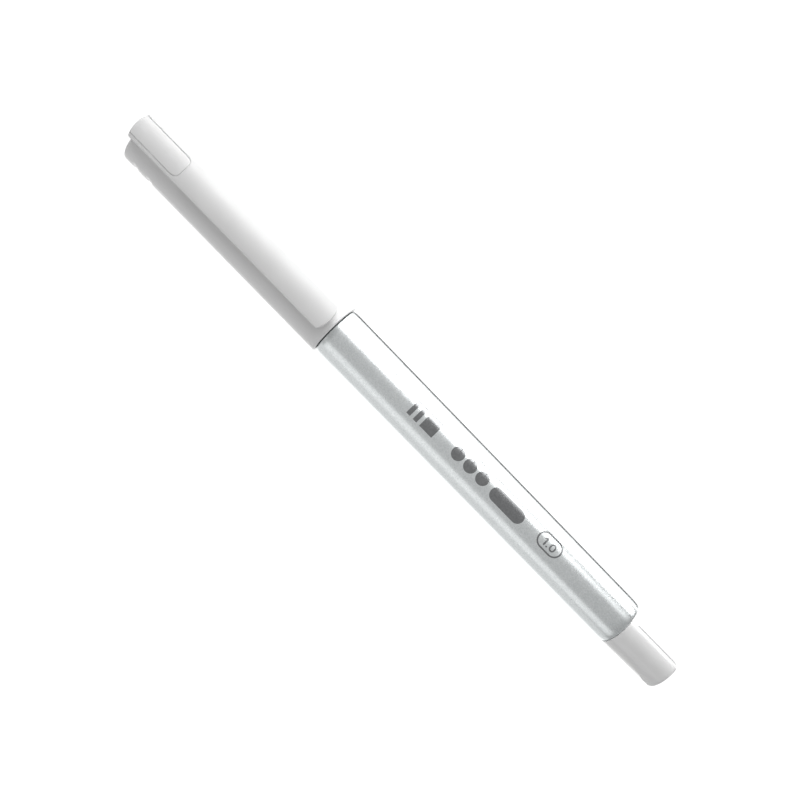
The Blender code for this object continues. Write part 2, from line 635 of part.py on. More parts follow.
def main():
    clear_scene()
    white = (0.86, 0.86, 0.86)
    axis = empty("pen_axis", (0.0, 0.0, AXIS_Z))
    cap_axis = empty("cap_axis", (CAP_MOUTH, 0.0, 0.0), axis)
    cap_frame = empty("cap_frame", (-CAP_MOUTH, 0.0, 0.0), cap_axis)
    clip_hinge = empty("clip_hinge", (CLIP_HINGE, 0.0, CLIP_HINGE_HEIGHT), cap_frame)
    ball_centre = empty("ball_centre", (BALL_X, 0.0, 0.0), axis)

    make_barrel_tube(axis, material("barrel_tube", (0.70, 0.72, 0.73), 0.35, 0.8))
    make_tail_plug(axis, material("tail_plug", white, 0.25))
    make_front_section(axis, material("front_section", (0.10, 0.10, 0.11), 0.45))
    make_grip_sleeve(axis, material("grip_sleeve", (0.55, 0.56, 0.58), 0.7))
    make_nose_cone(axis, material("nose_cone", (0.62, 0.63, 0.64), 0.2, 1.0))
    make_refill_tube(axis, material("refill_tube", (0.80, 0.82, 0.82), 0.3))
    make_refill_end_plug(axis, material("refill_end_plug", (0.75, 0.75, 0.75), 0.5))
    make_tip_holder(axis, material("tip_holder", (0.72, 0.72, 0.70), 0.4))
    make_writing_point(axis, material("writing_point", (0.66, 0.62, 0.52), 0.2, 1.0))
    make_point_ball(ball_centre, material("point_ball", (0.35, 0.36, 0.38), 0.1, 1.0))
    make_ball_spring(axis, material("ball_spring", (0.6, 0.6, 0.62), 0.3, 1.0))
    ink_front = HOLDER_REAR + GAP
    make_plain_rod("ink_column", ink_front, INK_REAR, INK_RADIUS, axis,
                   material("ink_column", (0.88, 0.88, 0.87), 0.3))
    follower_front = INK_REAR + GAP
    make_plain_rod("ink_follower", follower_front, follower_front + FOLLOWER_LENGTH, INK_RADIUS,
                   axis, material("ink_follower", (0.80, 0.80, 0.72), 0.2))

    make_cap_shell(cap_frame, material("cap_shell", white, 0.4))
    make_cap_end_plug(cap_frame, material("cap_end_plug", white, 0.4))
    make_inner_cap(cap_frame, material("inner_cap", (0.80, 0.80, 0.80), 0.4))
    make_plain_rod("tip_seal_pad", LINER_POCKET_FLOOR + GAP, PAD_FRONT, PAD_RADIUS, cap_frame,
                   material("tip_seal_pad", (0.30, 0.30, 0.32), 0.8))
    make_clip_root(cap_frame, material("clip_root", white, 0.35))
    make_clip_panel(cap_frame, material("clip_panel", white, 0.35))
    make_clip_blade(clip_hinge, material("clip_blade", white, 0.35))


main()
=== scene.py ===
"""Looks of a capped gel ink pen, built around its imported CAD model, in metres, +Z up.

The pen lies along X with its cap towards -X and its clip on top. Radii are measured from the pen's
axis. Sizes that the CAD nodes hold are read from them, and the finer ones are named below.
"""
import json
import math

import bmesh
import bpy
from mathutils import Matrix, Vector

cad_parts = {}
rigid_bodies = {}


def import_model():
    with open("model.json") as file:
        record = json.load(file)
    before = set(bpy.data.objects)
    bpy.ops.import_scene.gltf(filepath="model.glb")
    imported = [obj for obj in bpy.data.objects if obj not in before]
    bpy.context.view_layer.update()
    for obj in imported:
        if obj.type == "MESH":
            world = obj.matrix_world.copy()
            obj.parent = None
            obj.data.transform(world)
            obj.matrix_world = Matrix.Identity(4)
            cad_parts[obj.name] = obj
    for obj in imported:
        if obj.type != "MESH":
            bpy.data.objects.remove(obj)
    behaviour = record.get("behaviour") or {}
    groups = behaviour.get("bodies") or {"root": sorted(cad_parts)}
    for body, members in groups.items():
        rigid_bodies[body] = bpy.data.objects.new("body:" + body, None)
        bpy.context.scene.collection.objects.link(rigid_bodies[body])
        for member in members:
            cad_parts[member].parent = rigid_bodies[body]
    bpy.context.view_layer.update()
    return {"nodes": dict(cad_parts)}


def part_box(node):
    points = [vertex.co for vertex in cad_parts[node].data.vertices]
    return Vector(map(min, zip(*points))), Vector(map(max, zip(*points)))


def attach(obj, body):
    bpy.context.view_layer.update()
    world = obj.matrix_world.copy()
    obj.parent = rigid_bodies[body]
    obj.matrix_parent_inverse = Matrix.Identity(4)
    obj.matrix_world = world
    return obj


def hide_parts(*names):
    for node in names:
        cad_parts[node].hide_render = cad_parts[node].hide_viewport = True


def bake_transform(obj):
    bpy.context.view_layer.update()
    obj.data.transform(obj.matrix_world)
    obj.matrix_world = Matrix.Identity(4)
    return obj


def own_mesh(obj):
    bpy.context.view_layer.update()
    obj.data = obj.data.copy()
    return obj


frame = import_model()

MM = 0.001
BODY_FACETS = 160
SMALL_FACETS = 96
# Edges sharper than this, in degrees, stay sharp in the shading.
SMOOTH_ANGLE = 35.0
# Points closer than this are joined.
WELD_GAP = 0.0005 * MM


def low(node, axis):
    """Lowest coordinate of a CAD node: axis 0 is X, 1 is Y and 2 is Z."""
    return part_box(node)[0][axis]


def high(node, axis):
    """Highest coordinate of a CAD node."""
    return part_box(node)[1][axis]


AXIS_Z = (low("barrel_tube", 2) + high("barrel_tube", 2)) / 2
AXIS = Vector((0.0, 0.0, AXIS_Z))

# Barrel
BARREL_FRONT = low("barrel_tube", 0)
BARREL_REAR = high("barrel_tube", 0)
BARREL_RADIUS_FRONT = high("barrel_tube", 1)
BARREL_TAPER = 0.32 * MM
BARREL_RADIUS_REAR = BARREL_RADIUS_FRONT - BARREL_TAPER
BARREL_BORE = 4.3 * MM
BARREL_SEAM = 4.0 * MM
# The barrel's skin eases down towards both of its ends, by this much over this length.
BARREL_RUN_IN = 1.5 * MM
BARREL_RUN_IN_DROP = 0.28 * MM
BARREL_RUN_OUT = 2.2 * MM
BARREL_RUN_OUT_DROP = 0.32 * MM
BARREL_RUN_STEPS = 12

# Tail plug
TAIL_END = high("tail_plug", 0)
TAIL_FRONT = low("tail_plug", 0)
TAIL_ROOT = BARREL_REAR + 0.05 * MM
TAIL_RADIUS_ROOT = 5.1 * MM
TAIL_RADIUS_END = 4.75 * MM
TAIL_FLANK = 2.32 * MM
TAIL_FLANK_RADIUS = 14.0 * MM
TAIL_CORNER = 1.2 * MM
TAIL_EDGE = 0.6 * MM
TAIL_SLEEVE_RADIUS = 4.2 * MM
TAIL_SLEEVE_OVERLAP = 0.5 * MM
DIMPLE_RADIUS = 0.7 * MM
DIMPLE_DEPTH = 0.15 * MM
DIMPLE_Y = -1.0 * MM

# Cap
CAP_END = low("cap_shell", 0)
CAP_MOUTH = high("cap_shell", 0)
CAP_RADIUS_END = high("cap_shell", 1)
CAP_RADIUS_MOUTH = CAP_RADIUS_END - 0.1 * MM
CAP_BORE = 4.95 * MM
CAP_BORE_DEEP = 4.62 * MM
CAP_BORE_STEP = -54.0 * MM
CAP_END_WALL = 1.4 * MM
CAP_END_HOLE = 3.3 * MM
CAP_PLUG_VENT = 0.8 * MM
SCALLOP_CENTRES = (-71.4 * MM, -67.5 * MM)
SCALLOP_RADIUS = 1.7 * MM
SCALLOP_DEPTH = 0.38 * MM
SCALLOP_REACH = 3.0 * MM

# Clip, with heights above the pen's axis
CLIP_END = low("clip_root", 0)
CLIP_TIP = high("clip_blade", 0)
CLIP_HALF_WIDTH = high("clip_blade", 1)
CLIP_TOP = high("clip_blade", 2) - AXIS_Z
CLIP_CROWN = 9.0 * MM
CLIP_THICKNESS = 1.3 * MM
CLIP_EDGE = 0.35 * MM
CLIP_END_BULGE = 0.75 * MM
CLIP_TIP_BULGE = 1.2 * MM
CLIP_SIDE_LEAN = math.tan(math.radians(5.0))
CLIP_ROOT_BOTTOM = 4.9 * MM
CLIP_HINGE = -60.0 * MM
CLIP_FILLET = 1.6 * MM
BEAD_RADIUS = 1.2 * MM
BEAD_STRETCH = (1.0, 1.6, 0.95)
BEAD_FROM_TIP = 3.0 * MM
BEAD_RISE = 0.6 * MM
PANEL_HALF_WIDTH = high("clip_panel", 1)
PANEL_INNER_END = high("clip_panel", 0)
PANEL_CORNER = 1.3 * MM
PANEL_GROOVE = 0.16 * MM
PANEL_SEAM = 0.14 * MM
PANEL_DEPTH = 0.9 * MM
PANEL_UNDERSIDE = CLIP_TOP - PANEL_DEPTH + 0.05 * MM

# Front section: threaded shank, collar, seat under the grip, land and nipple
SECTION_BORE = 3.1 * MM
SHANK_RADIUS = 4.2 * MM
THREAD_START = -19.0 * MM
THREAD_PITCH = 1.25 * MM
THREAD_TURNS = 6
THREAD_DEPTH = 0.3 * MM
COLLAR_REAR = -20.4 * MM
COLLAR_FRONT = -25.0 * MM
GRIP_SEAT_RADIUS = 3.7 * MM
GRIP_SEAT_FRONT = -47.7 * MM
LAND_RADIUS = 4.2 * MM
LAND_FRONT = -48.7 * MM
NIPPLE_RADIUS = 3.35 * MM

# Grip sleeve
GRIP_BORE = 3.8 * MM
GRIP_LIP_RADIUS = 4.15 * MM
GRIP_LIP = 0.5 * MM
GRIP_GROOVES = 9
GRIP_MARGIN = 1.4 * MM
GRIP_GROOVE_WIDTH = 0.9 * MM
GRIP_GROOVE_FLOOR = 0.4 * MM
GRIP_GROOVE_DEPTH = 0.35 * MM

# Nose cone
CONE_BORE = 3.45 * MM
CONE_RING_REAR = 1.1 * MM
CONE_RING_FRONT = 1.8 * MM
CONE_RING_DEPTH = 0.15 * MM
CONE_SHOULDER = -52.5 * MM
CONE_SHOULDER_RADIUS = 4.05 * MM
CONE_TIP_RADIUS = 1.56 * MM
CONE_HOLE = 1.2 * MM
CONE_HOLE_LENGTH = 2.0 * MM
CONE_STEP = -54.1 * MM
CONE_STEP_RADIUS = 2.95 * MM

# Writing point and ink
POINT_RADIUS = 1.0 * MM
POINT_TAPER = -64.3 * MM
POINT_SOCKET = 0.52 * MM
POINT_BORE = 0.3 * MM

# Print on the barrel. Its marks are measured along the pen, and across it from the top towards +Y.
PRINT_LIFT = 0.015 * MM
PRINT_THICKNESS = 0.03 * MM
PRINT_BARS = ((1.5 * MM, 2.5 * MM), (3.3 * MM, 4.3 * MM), (5.1 * MM, 8.5 * MM))
PRINT_BAR_SIDES = (-1.7 * MM, 1.9 * MM)
PRINT_DOTS = ((13.0 * MM, 15.9 * MM), (16.4 * MM, 19.3 * MM), (19.8 * MM, 22.7 * MM))
PRINT_DOT_SIDES = (-1.5 * MM, 1.4 * MM)
PRINT_PILL = (24.0 * MM, 32.8 * MM, -1.8 * MM, 1.2 * MM)
PRINT_OVAL = (36.9 * MM, 42.6 * MM, -1.25 * MM, 2.05 * MM)
PRINT_OVAL_LINE = 0.32 * MM
DIGIT_BOTTOM = -0.58 * MM
DIGIT_TOP = 1.1 * MM
DIGIT_LINE = 0.36 * MM
DIGIT_ONE = 38.62 * MM
DIGIT_DOT = 39.3 * MM
DIGIT_ZERO = (40.15 * MM, 41.15 * MM)
DIGIT_ZERO_LINE = 0.33 * MM

# Camera: distance from the pen's axis, tilt towards -Y, turn of the picture, and the point it looks at
CAMERA_DISTANCE = 207.4 * MM
CAMERA_TILT = 4.9
CAMERA_TURN = 45.74
CAMERA_TARGET = (-1.07 * MM, -0.42 * MM)
CAMERA_LENS = 46.43

# Studio. Each panel has its name, its first and last angle from overhead towards +Y, its radiance,
# its distance, and where it starts and ends along X.
ROOM_LIGHT = 0.36
FLOOR_GLOW = 0.95
FLOOR_REACH = 8.0
PANELS = (("overhead", -57.4, 16.6, 0.16, 0.6, -0.13, 0.26),
          ("upper_softbox", 23.8, 42.9, 5.1, 0.5, -0.5, 0.1),
          ("softbox_spill", 23.8, 42.9, 0.55, 0.51, 0.1, 0.32),
          ("side_softbox", 63.6, 87.0, 5.1, 0.5, -0.5, 0.3),
          ("low_reflector", -77.0, -60.2, 0.6, 0.5, -0.14, 0.2),
          ("cap_reflector", -77.0, -58.0, 0.42, 0.5, -0.6, -0.28),
          ("lowest_reflector", -90.0, -78.0, 0.66, 0.5, -0.12, 0.3),
          ("reflector_spill", -77.0, -60.2, 0.5, 0.51, 0.2, 0.33))
# The card under the pen has tones of (y, share of its strength), and ends at CARD_END along X.
CARD_STRENGTH = 1.5
CARD_REACH = 1.2
CARD_DEPTH = 0.2 * MM
CARD_TONES = ((-24.0 * MM, 0.47), (-12.0 * MM, 0.49), (-8.0 * MM, 0.9), (14.0 * MM, 1.0))
CARD_END = 75.0 * MM
# Strips of painted shade, seen only in reflections, stand for the pen's shadow on the table at its +Y
# side. Each has its name, and where it starts and ends along X and Y.
SHADE_STRIP_LIFT = 0.1 * MM
SHADE_STRIPS = (("barrel_painted_shade", -23.0 * MM, 67.0 * MM, 7.1 * MM, 14.1 * MM),
         ("tail_painted_shade", 67.0 * MM, 82.0 * MM, 3.0 * MM, 9.5 * MM))


# --------------------------------------------------------------------------------- mesh helpers


def arc(centre, radius, start, end, steps):
    """Points on a circular arc, from start to end in degrees."""
    points = []
    for step in range(steps + 1):
        angle = math.radians(start + (end - start) * step / steps)
        points.append((centre[0] + radius * math.cos(angle), centre[1] + radius * math.sin(angle)))
    return points


def rounded(points, radius, steps=5):
    """A closed or open profile with each corner that has a radius replaced by an arc.

    Each point is (x, r) or (x, r, own radius). The first and last points stay sharp.
    """
    out = [points[0][:2]]
    for before, corner, after in zip(points, points[1:], points[2:]):
        size = corner[2] if len(corner) > 2 else radius
        here = Vector(corner[:2])
        back = Vector(before[:2]) - here
        onward = Vector(after[:2]) - here
        half = back.angle(onward) / 2
        if size <= 0 or half > math.radians(89):
            out.append(corner[:2])
            continue
        reach = min(size / math.tan(half), 0.49 * back.length, 0.49 * onward.length)
        size = reach * math.tan(half)
        centre = here + (back.normalized() + onward.normalized()).normalized() * size / math.sin(half)
        first = here + back.normalized() * reach - centre
        last = here + onward.normalized() * reach - centre
        turn = first.angle_signed(last)
        start = math.atan2(first.y, first.x)
        for step in range(steps + 1):
            angle = start - turn * step / steps
            out.append((centre.x + size * math.cos(angle), centre.y + size * math.sin(angle)))
    out.append(points[-1][:2])
    return out


def smooth(mesh):
    """Shade a mesh smooth except at its sharp edges."""
    mesh.shade_smooth()
    mesh.set_sharp_from_angle(angle=math.radians(SMOOTH_ANGLE))


def new_object(name, mesh, location=AXIS):
    """Link a mesh as a piece. Its own origin is on the pen's axis unless a location is given."""
    obj = bpy.data.objects.new(name, mesh)
    bpy.context.scene.collection.objects.link(obj)
    obj.location = location
    smooth(mesh)
    return obj


def mesh_from(bm, name):
    """Turn a bmesh into a mesh with its faces pointing out."""
    bmesh.ops.recalc_face_normals(bm, faces=bm.faces)
    mesh = bpy.data.meshes.new(name)
    bm.to_mesh(mesh)
    bm.free()
    return mesh


def spin_mesh(name, profile, facets, closed):
    """Turn a profile of (x, radius) points about the X axis."""
    bm = bmesh.new()
    verts = [bm.verts.new((x, 0.0, radius)) for x, radius in profile]
    edges = [bm.edges.new(pair) for pair in zip(verts, verts[1:])]
    if closed:
        edges.append(bm.edges.new((verts[-1], verts[0])))
    bmesh.ops.spin(bm, geom=verts + edges, cent=(0, 0, 0), axis=(1, 0, 0), angle=math.tau,
                   steps=facets, use_duplicate=False)
    bmesh.ops.remove_doubles(bm, verts=bm.verts, dist=WELD_GAP)
    return mesh_from(bm, name)


def turned(name, profile, facets=BODY_FACETS, closed=True):
    """A turned piece on the pen's axis. The profile runs round its wall, or from axis to axis."""
    return new_object(name, spin_mesh(name, profile, facets, closed))


def prism_mesh(name, outline, depth):
    """Extrude a closed outline of 3-D points by the vector depth."""
    bm = bmesh.new()
    face = bm.faces.new([bm.verts.new(point) for point in outline])
    moved = bmesh.ops.extrude_face_region(bm, geom=[face])["geom"]
    bmesh.ops.translate(bm, vec=depth, verts=[v for v in moved if isinstance(v, bmesh.types.BMVert)])
    return mesh_from(bm, name)


def loft_mesh(name, rings):
    """Join rings with equally many points into one closed skin with flat ends."""
    bm = bmesh.new()
    loops = [[bm.verts.new(point) for point in ring] for ring in rings]
    for lower, upper in zip(loops, loops[1:]):
        for index, vert in enumerate(lower):
            after = (index + 1) % len(lower)
            bm.faces.new((vert, lower[after], upper[after], upper[index]))
    bm.faces.new(loops[0])
    bm.faces.new(loops[-1])
    return mesh_from(bm, name)


def shape_with(obj, mesh, operation):
    """Cut, join or intersect a piece with a mesh in the same place, and keep the result."""
    tool = bpy.data.objects.new("tool", mesh)
    bpy.context.scene.collection.objects.link(tool)
    tool.matrix_world = obj.matrix_world if obj.parent else Matrix.Translation(obj.location)
    modifier = obj.modifiers.new("shape", "BOOLEAN")
    modifier.operation = operation
    modifier.solver = "EXACT"
    modifier.object = tool
    bake_modifiers(obj)
    bpy.data.objects.remove(tool, do_unlink=True)


def bake_modifiers(obj):
    """Replace a piece's mesh by what its modifiers make of it."""
    bpy.context.view_layer.update()
    evaluated = obj.evaluated_get(bpy.context.evaluated_depsgraph_get())
    mesh = bpy.data.meshes.new_from_object(evaluated)
    obj.modifiers.clear()
    obj.data = mesh
    smooth(mesh)


def soften(obj, width, segments, angle):
    """Give a piece's edges that are sharper than angle, in degrees, a small round."""
    modifier = obj.modifiers.new("soften", "BEVEL")
    modifier.width = width
    modifier.segments = segments
    modifier.limit_method = "ANGLE"
    modifier.angle_limit = math.radians(angle)
    modifier.harden_normals = False
    bake_modifiers(obj)


def place(obj, body, slot, mat, *nodes):
    """Give a piece its material and its body, and hide the CAD nodes it stands for. The slot is not
    used.
    """
    obj.data.materials.clear()
    obj.data.materials.append(mat)
    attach(obj, body)
    if nodes:
        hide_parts(*nodes)


# ------------------------------------------------------------------------------ material helpers


class Nodes:
    """A Principled material with a few named helpers for its node tree.

    Extra sockets of the shader are given by name, with _ for a space.
    """

    def __init__(self, name, colour, roughness, metallic=0.0, **sockets):
        self.mat = bpy.data.materials.new(name)
        self.mat.use_nodes = True
        self.tree = self.mat.node_tree
        self.shader = self.tree.nodes["Principled BSDF"]
        self.shader.inputs["Base Color"].default_value = (*colour, 1.0)
        self.shader.inputs["Roughness"].default_value = roughness
        self.shader.inputs["Metallic"].default_value = metallic
        for socket, value in sockets.items():
            self.shader.inputs[socket.replace("_", " ")].default_value = value
        self.coords = self.tree.nodes.new("ShaderNodeTexCoord")
        self.mat.diffuse_color = (*colour, 1.0)

    def link(self, source, target):
        self.tree.links.new(source, target)

    def stretched(self, scale):
        """Object coordinates, scaled by axis."""
        mapping = self.tree.nodes.new("ShaderNodeMapping")
        mapping.inputs["Scale"].default_value = scale
        self.link(self.coords.outputs["Object"], mapping.inputs["Vector"])
        return mapping.outputs["Vector"]

    def noise(self, scale, detail=2.0, roughness=0.5, vector=None):
        node = self.tree.nodes.new("ShaderNodeTexNoise")
        node.inputs["Scale"].default_value = scale
        node.inputs["Detail"].default_value = detail
        node.inputs["Roughness"].default_value = roughness
        self.link(vector or self.coords.outputs["Object"], node.inputs["Vector"])
        return node.outputs["Fac"]

    def cells(self, scale):
        """Random value of each cell of a Voronoi pattern, for flakes and grains."""
        node = self.tree.nodes.new("ShaderNodeTexVoronoi")
        node.inputs["Scale"].default_value = scale
        self.link(self.coords.outputs["Object"], node.inputs["Vector"])
        split = self.tree.nodes.new("ShaderNodeSeparateColor")
        self.link(node.outputs["Color"], split.inputs["Color"])
        return split.outputs["Red"]

    def ramp(self, value, stops):
        """Colour ramp through (place, colour) stops."""
        node = self.tree.nodes.new("ShaderNodeValToRGB")
        while len(node.color_ramp.elements) < len(stops):
            node.color_ramp.elements.new(0.5)
        for element, (position, colour) in zip(node.color_ramp.elements, stops):
            element.position = position
            element.color = (*colour, 1.0)
        self.link(value, node.inputs["Fac"])
        return node.outputs["Color"]

    def add(self, one, other, share):
        """one + share * other."""
        node = self.tree.nodes.new("ShaderNodeMath")
        node.operation = "MULTIPLY_ADD"
        self.link(other, node.inputs[0])
        node.inputs[1].default_value = share
        self.link(one, node.inputs[2])
        return node.outputs[0]

    def tint(self, colour_a, colour_b, value, least=0.35, most=0.65):
        """Base colour that wanders between two tones with a noise value."""
        self.link(self.ramp(value, [(least, colour_a), (most, colour_b)]),
                  self.shader.inputs["Base Color"])

    def bump(self, value, strength, distance):
        """Fine relief of the surface."""
        node = self.tree.nodes.new("ShaderNodeBump")
        node.inputs["Strength"].default_value = strength
        node.inputs["Distance"].default_value = distance
        self.link(value, node.inputs["Height"])
        self.link(node.outputs["Normal"], self.shader.inputs["Normal"])

    def roughness(self, value, least, most):
        """Roughness that wanders between two values with a noise value."""
        node = self.tree.nodes.new("ShaderNodeMapRange")
        node.inputs["From Min"].default_value = 0.3
        node.inputs["From Max"].default_value = 0.7
        node.inputs["To Min"].default_value = least
        node.inputs["To Max"].default_value = most
        self.link(value, node.inputs["Value"])
        self.link(node.outputs["Result"], self.shader.inputs["Roughness"])


def frosted_silver():
    """Metallic lacquer: bright flakes in a fine frosted grain."""
    look = Nodes("frosted_silver", (0.86, 0.88, 0.885), 0.3, 1.0)
    flakes = look.cells(5200.0)
    grain = look.noise(4200.0, 3.0, 0.6)
    mixed = look.add(grain, flakes, 0.5)
    look.tint((0.77, 0.805, 0.81), (0.92, 0.95, 0.955), mixed, 0.45, 1.05)
    look.roughness(look.noise(900.0), 0.27, 0.31)
    look.bump(mixed, 0.035, 0.02 * MM)
    return look.mat


def satin_white():
    """Moulded white plastic with a satin skin and the faintest orange peel."""
    look = Nodes("satin_white", (0.675, 0.675, 0.675), 0.36, IOR=1.6)
    look.tint((0.665, 0.665, 0.665), (0.685, 0.685, 0.685), look.noise(160.0, 3.0))
    look.roughness(look.noise(700.0, 3.0), 0.33, 0.4)
    look.bump(look.noise(1500.0, 3.0, 0.6), 0.10, 0.012 * MM)
    return look.mat


def gloss_white():
    """Moulded white plastic with a semi-gloss skin and fine lengthwise draw marks."""
    look = Nodes("gloss_white", (0.735, 0.735, 0.735), 0.08)
    look.tint((0.725, 0.725, 0.725), (0.745, 0.745, 0.745), look.noise(190.0, 3.0))
    look.roughness(look.noise(800.0, 2.0), 0.06, 0.11)
    marks = look.noise(1.0, 2.0, 0.5, look.stretched((120.0, 2600.0, 2600.0)))
    look.bump(marks, 0.05, 0.01 * MM)
    return look.mat


def dark_foil():
    """Hot-stamped dark grey foil, which mirrors its surroundings like the barrel does."""
    look = Nodes("dark_foil", (0.27, 0.275, 0.28), 0.25, 1.0)
    look.tint((0.25, 0.255, 0.26), (0.30, 0.305, 0.31), look.noise(2500.0, 2.0))
    look.bump(look.noise(4200.0, 2.0), 0.08, 0.01 * MM)
    return look.mat


def dark_plastic():
    # Near-black plastic. On the section's collar, in the narrow gap at the cap's mouth, this colour
    # also paints the shade of that gap.
    look = Nodes("dark_plastic", (0.035, 0.036, 0.04), 0.45)
    look.tint((0.03, 0.031, 0.034), (0.045, 0.046, 0.05), look.noise(300.0, 3.0))
    look.roughness(look.noise(900.0), 0.38, 0.52)
    look.bump(look.noise(2600.0, 3.0), 0.12, 0.012 * MM)
    return look.mat


def grip_rubber():
    """Soft grey rubber with a fine matt texture."""
    look = Nodes("grip_rubber", (0.36, 0.37, 0.385), 0.75, Sheen_Weight=0.15)
    look.tint((0.33, 0.34, 0.355), (0.40, 0.41, 0.42), look.noise(600.0, 4.0, 0.6))
    look.roughness(look.noise(1200.0), 0.68, 0.85)
    look.bump(look.noise(5200.0, 3.0, 0.7), 0.25, 0.015 * MM)
    return look.mat


def bright_metal():
    """Plated metal with fine turning marks round the axis."""
    look = Nodes("bright_metal", (0.66, 0.67, 0.68), 0.16, 1.0)
    rings = look.noise(1.0, 2.0, 0.5, look.stretched((5200.0, 60.0, 60.0)))
    look.tint((0.62, 0.63, 0.64), (0.70, 0.71, 0.72), rings)
    look.roughness(rings, 0.12, 0.22)
    look.bump(rings, 0.06, 0.006 * MM)
    return look.mat


def point_metal():
    """Nickel silver, turned: a warm tone with turning marks."""
    look = Nodes("point_metal", (0.62, 0.57, 0.46), 0.22, 1.0)
    rings = look.noise(1.0, 2.0, 0.5, look.stretched((9000.0, 80.0, 80.0)))
    look.tint((0.58, 0.53, 0.42), (0.67, 0.62, 0.51), rings)
    look.roughness(rings, 0.16, 0.3)
    look.bump(rings, 0.08, 0.005 * MM)
    return look.mat


def spring_steel():
    look = Nodes("spring_steel", (0.55, 0.55, 0.57), 0.3, 1.0)
    look.roughness(look.noise(3000.0), 0.24, 0.36)
    look.tint((0.5, 0.5, 0.52), (0.6, 0.6, 0.62), look.noise(2000.0))
    return look.mat


def refill_plastic():
    """Milky translucent polypropylene."""
    look = Nodes("refill_plastic", (0.85, 0.87, 0.87), 0.25, Transmission_Weight=0.55, IOR=1.49)
    look.roughness(look.noise(900.0), 0.2, 0.32)
    look.tint((0.82, 0.84, 0.84), (0.88, 0.9, 0.9), look.noise(250.0))
    return look.mat


def liner_plastic():
    """Natural moulded plastic, a little warmer and duller than the cap."""
    look = Nodes("liner_plastic", (0.66, 0.66, 0.64), 0.5)
    look.tint((0.64, 0.64, 0.62), (0.69, 0.69, 0.67), look.noise(220.0, 3.0))
    look.roughness(look.noise(900.0), 0.42, 0.56)
    look.bump(look.noise(2200.0, 3.0), 0.1, 0.01 * MM)
    return look.mat


def seal_rubber():
    look = Nodes("seal_rubber", (0.06, 0.06, 0.065), 0.8)
    look.tint((0.05, 0.05, 0.055), (0.075, 0.075, 0.08), look.noise(900.0))
    look.bump(look.noise(4000.0, 3.0), 0.2, 0.01 * MM)
    return look.mat


def white_ink():
    look = Nodes("white_ink", (0.85, 0.85, 0.84), 0.12)
    look.tint((0.82, 0.82, 0.81), (0.88, 0.88, 0.87), look.noise(300.0, 4.0))
    look.bump(look.noise(700.0, 2.0), 0.08, 0.02 * MM)
    return look.mat


def follower_gel():
    look = Nodes("follower_gel", (0.82, 0.8, 0.66), 0.1, Transmission_Weight=0.8, IOR=1.46)
    look.tint((0.8, 0.78, 0.62), (0.86, 0.84, 0.72), look.noise(400.0))
    return look.mat


# ---------------------------------------------------------------------------------------- pieces


def barrel_radius(x):
    """Outer radius of the barrel at x."""
    share = (x - BARREL_FRONT) / (BARREL_REAR - BARREL_FRONT)
    return BARREL_RADIUS_FRONT + (BARREL_RADIUS_REAR - BARREL_RADIUS_FRONT) * share


def eased_end(end, reach, drop, direction):
    """Outline of the barrel's skin where it eases down by drop over reach towards one end.

    Direction is 1 at the rear end and -1 at the front end. The points run towards +X.
    """
    places = []
    for step in range(1, BARREL_RUN_STEPS + 1):
        angle = math.radians(90.0 * step / BARREL_RUN_STEPS)
        x = end - direction * reach * (1 - math.cos(angle))
        places.append((x, barrel_radius(x) - drop * (1 - math.sin(angle)), 0.0))
    # One more ring keeps the smooth shading of the long straight part level.
    x = end - direction * (reach + 0.4 * MM)
    places.append((x, barrel_radius(x), 0.0))
    return places[::-1] if direction > 0 else places


def make_barrel(mat):
    """Tube whose profile starts and ends inside its bore."""
    profile = [(BARREL_FRONT + BARREL_SEAM, BARREL_BORE), (BARREL_FRONT, BARREL_BORE, 0.15 * MM),
               (BARREL_FRONT, BARREL_RADIUS_FRONT - BARREL_RUN_IN_DROP, 0.05 * MM)]
    profile += eased_end(BARREL_FRONT, BARREL_RUN_IN, BARREL_RUN_IN_DROP, -1)
    profile += eased_end(BARREL_REAR, BARREL_RUN_OUT, BARREL_RUN_OUT_DROP, 1)
    profile += [(BARREL_REAR, BARREL_RADIUS_REAR - BARREL_RUN_OUT_DROP, 0.05 * MM),
                (BARREL_REAR, BARREL_BORE, 0.1 * MM), (BARREL_REAR - BARREL_SEAM, BARREL_BORE)]
    barrel = turned("barrel", rounded(profile, 0.2 * MM, 8))
    place(barrel, "barrel", "silver_barrel", mat, "barrel_tube")


def flanked_ring(x, shrink, radius):
    """Cross-section of the tail stub: a circle whose +Y side is a flatter arc, with round corners.

    Shrink draws the whole outline inwards by an equal distance.
    """
    radius -= shrink
    corner = TAIL_CORNER - shrink
    flank_radius = TAIL_FLANK_RADIUS - shrink
    flank_y = TAIL_FLANK - TAIL_FLANK_RADIUS
    centre_y = (flank_y ** 2 + (radius - corner) ** 2 - (flank_radius - corner) ** 2) / (2 * flank_y)
    centre_z = math.sqrt((radius - corner) ** 2 - centre_y ** 2)
    body_angle = math.degrees(math.atan2(centre_z, centre_y))
    flank_angle = math.degrees(math.atan2(centre_z, centre_y - flank_y))
    ring = arc((flank_y, 0), flank_radius, 0, flank_angle, 10)
    ring += arc((centre_y, centre_z), corner, flank_angle, body_angle, 14)[1:]
    ring += arc((0, 0), radius, body_angle, 360 - body_angle, 96)[1:]
    ring += arc((centre_y, -centre_z), corner, 360 - body_angle, 360 - flank_angle, 14)[1:]
    ring += arc((flank_y, 0), flank_radius, 360 - flank_angle, 360, 10)[1:-1]
    return [Vector((x, y, z)) for y, z in ring]


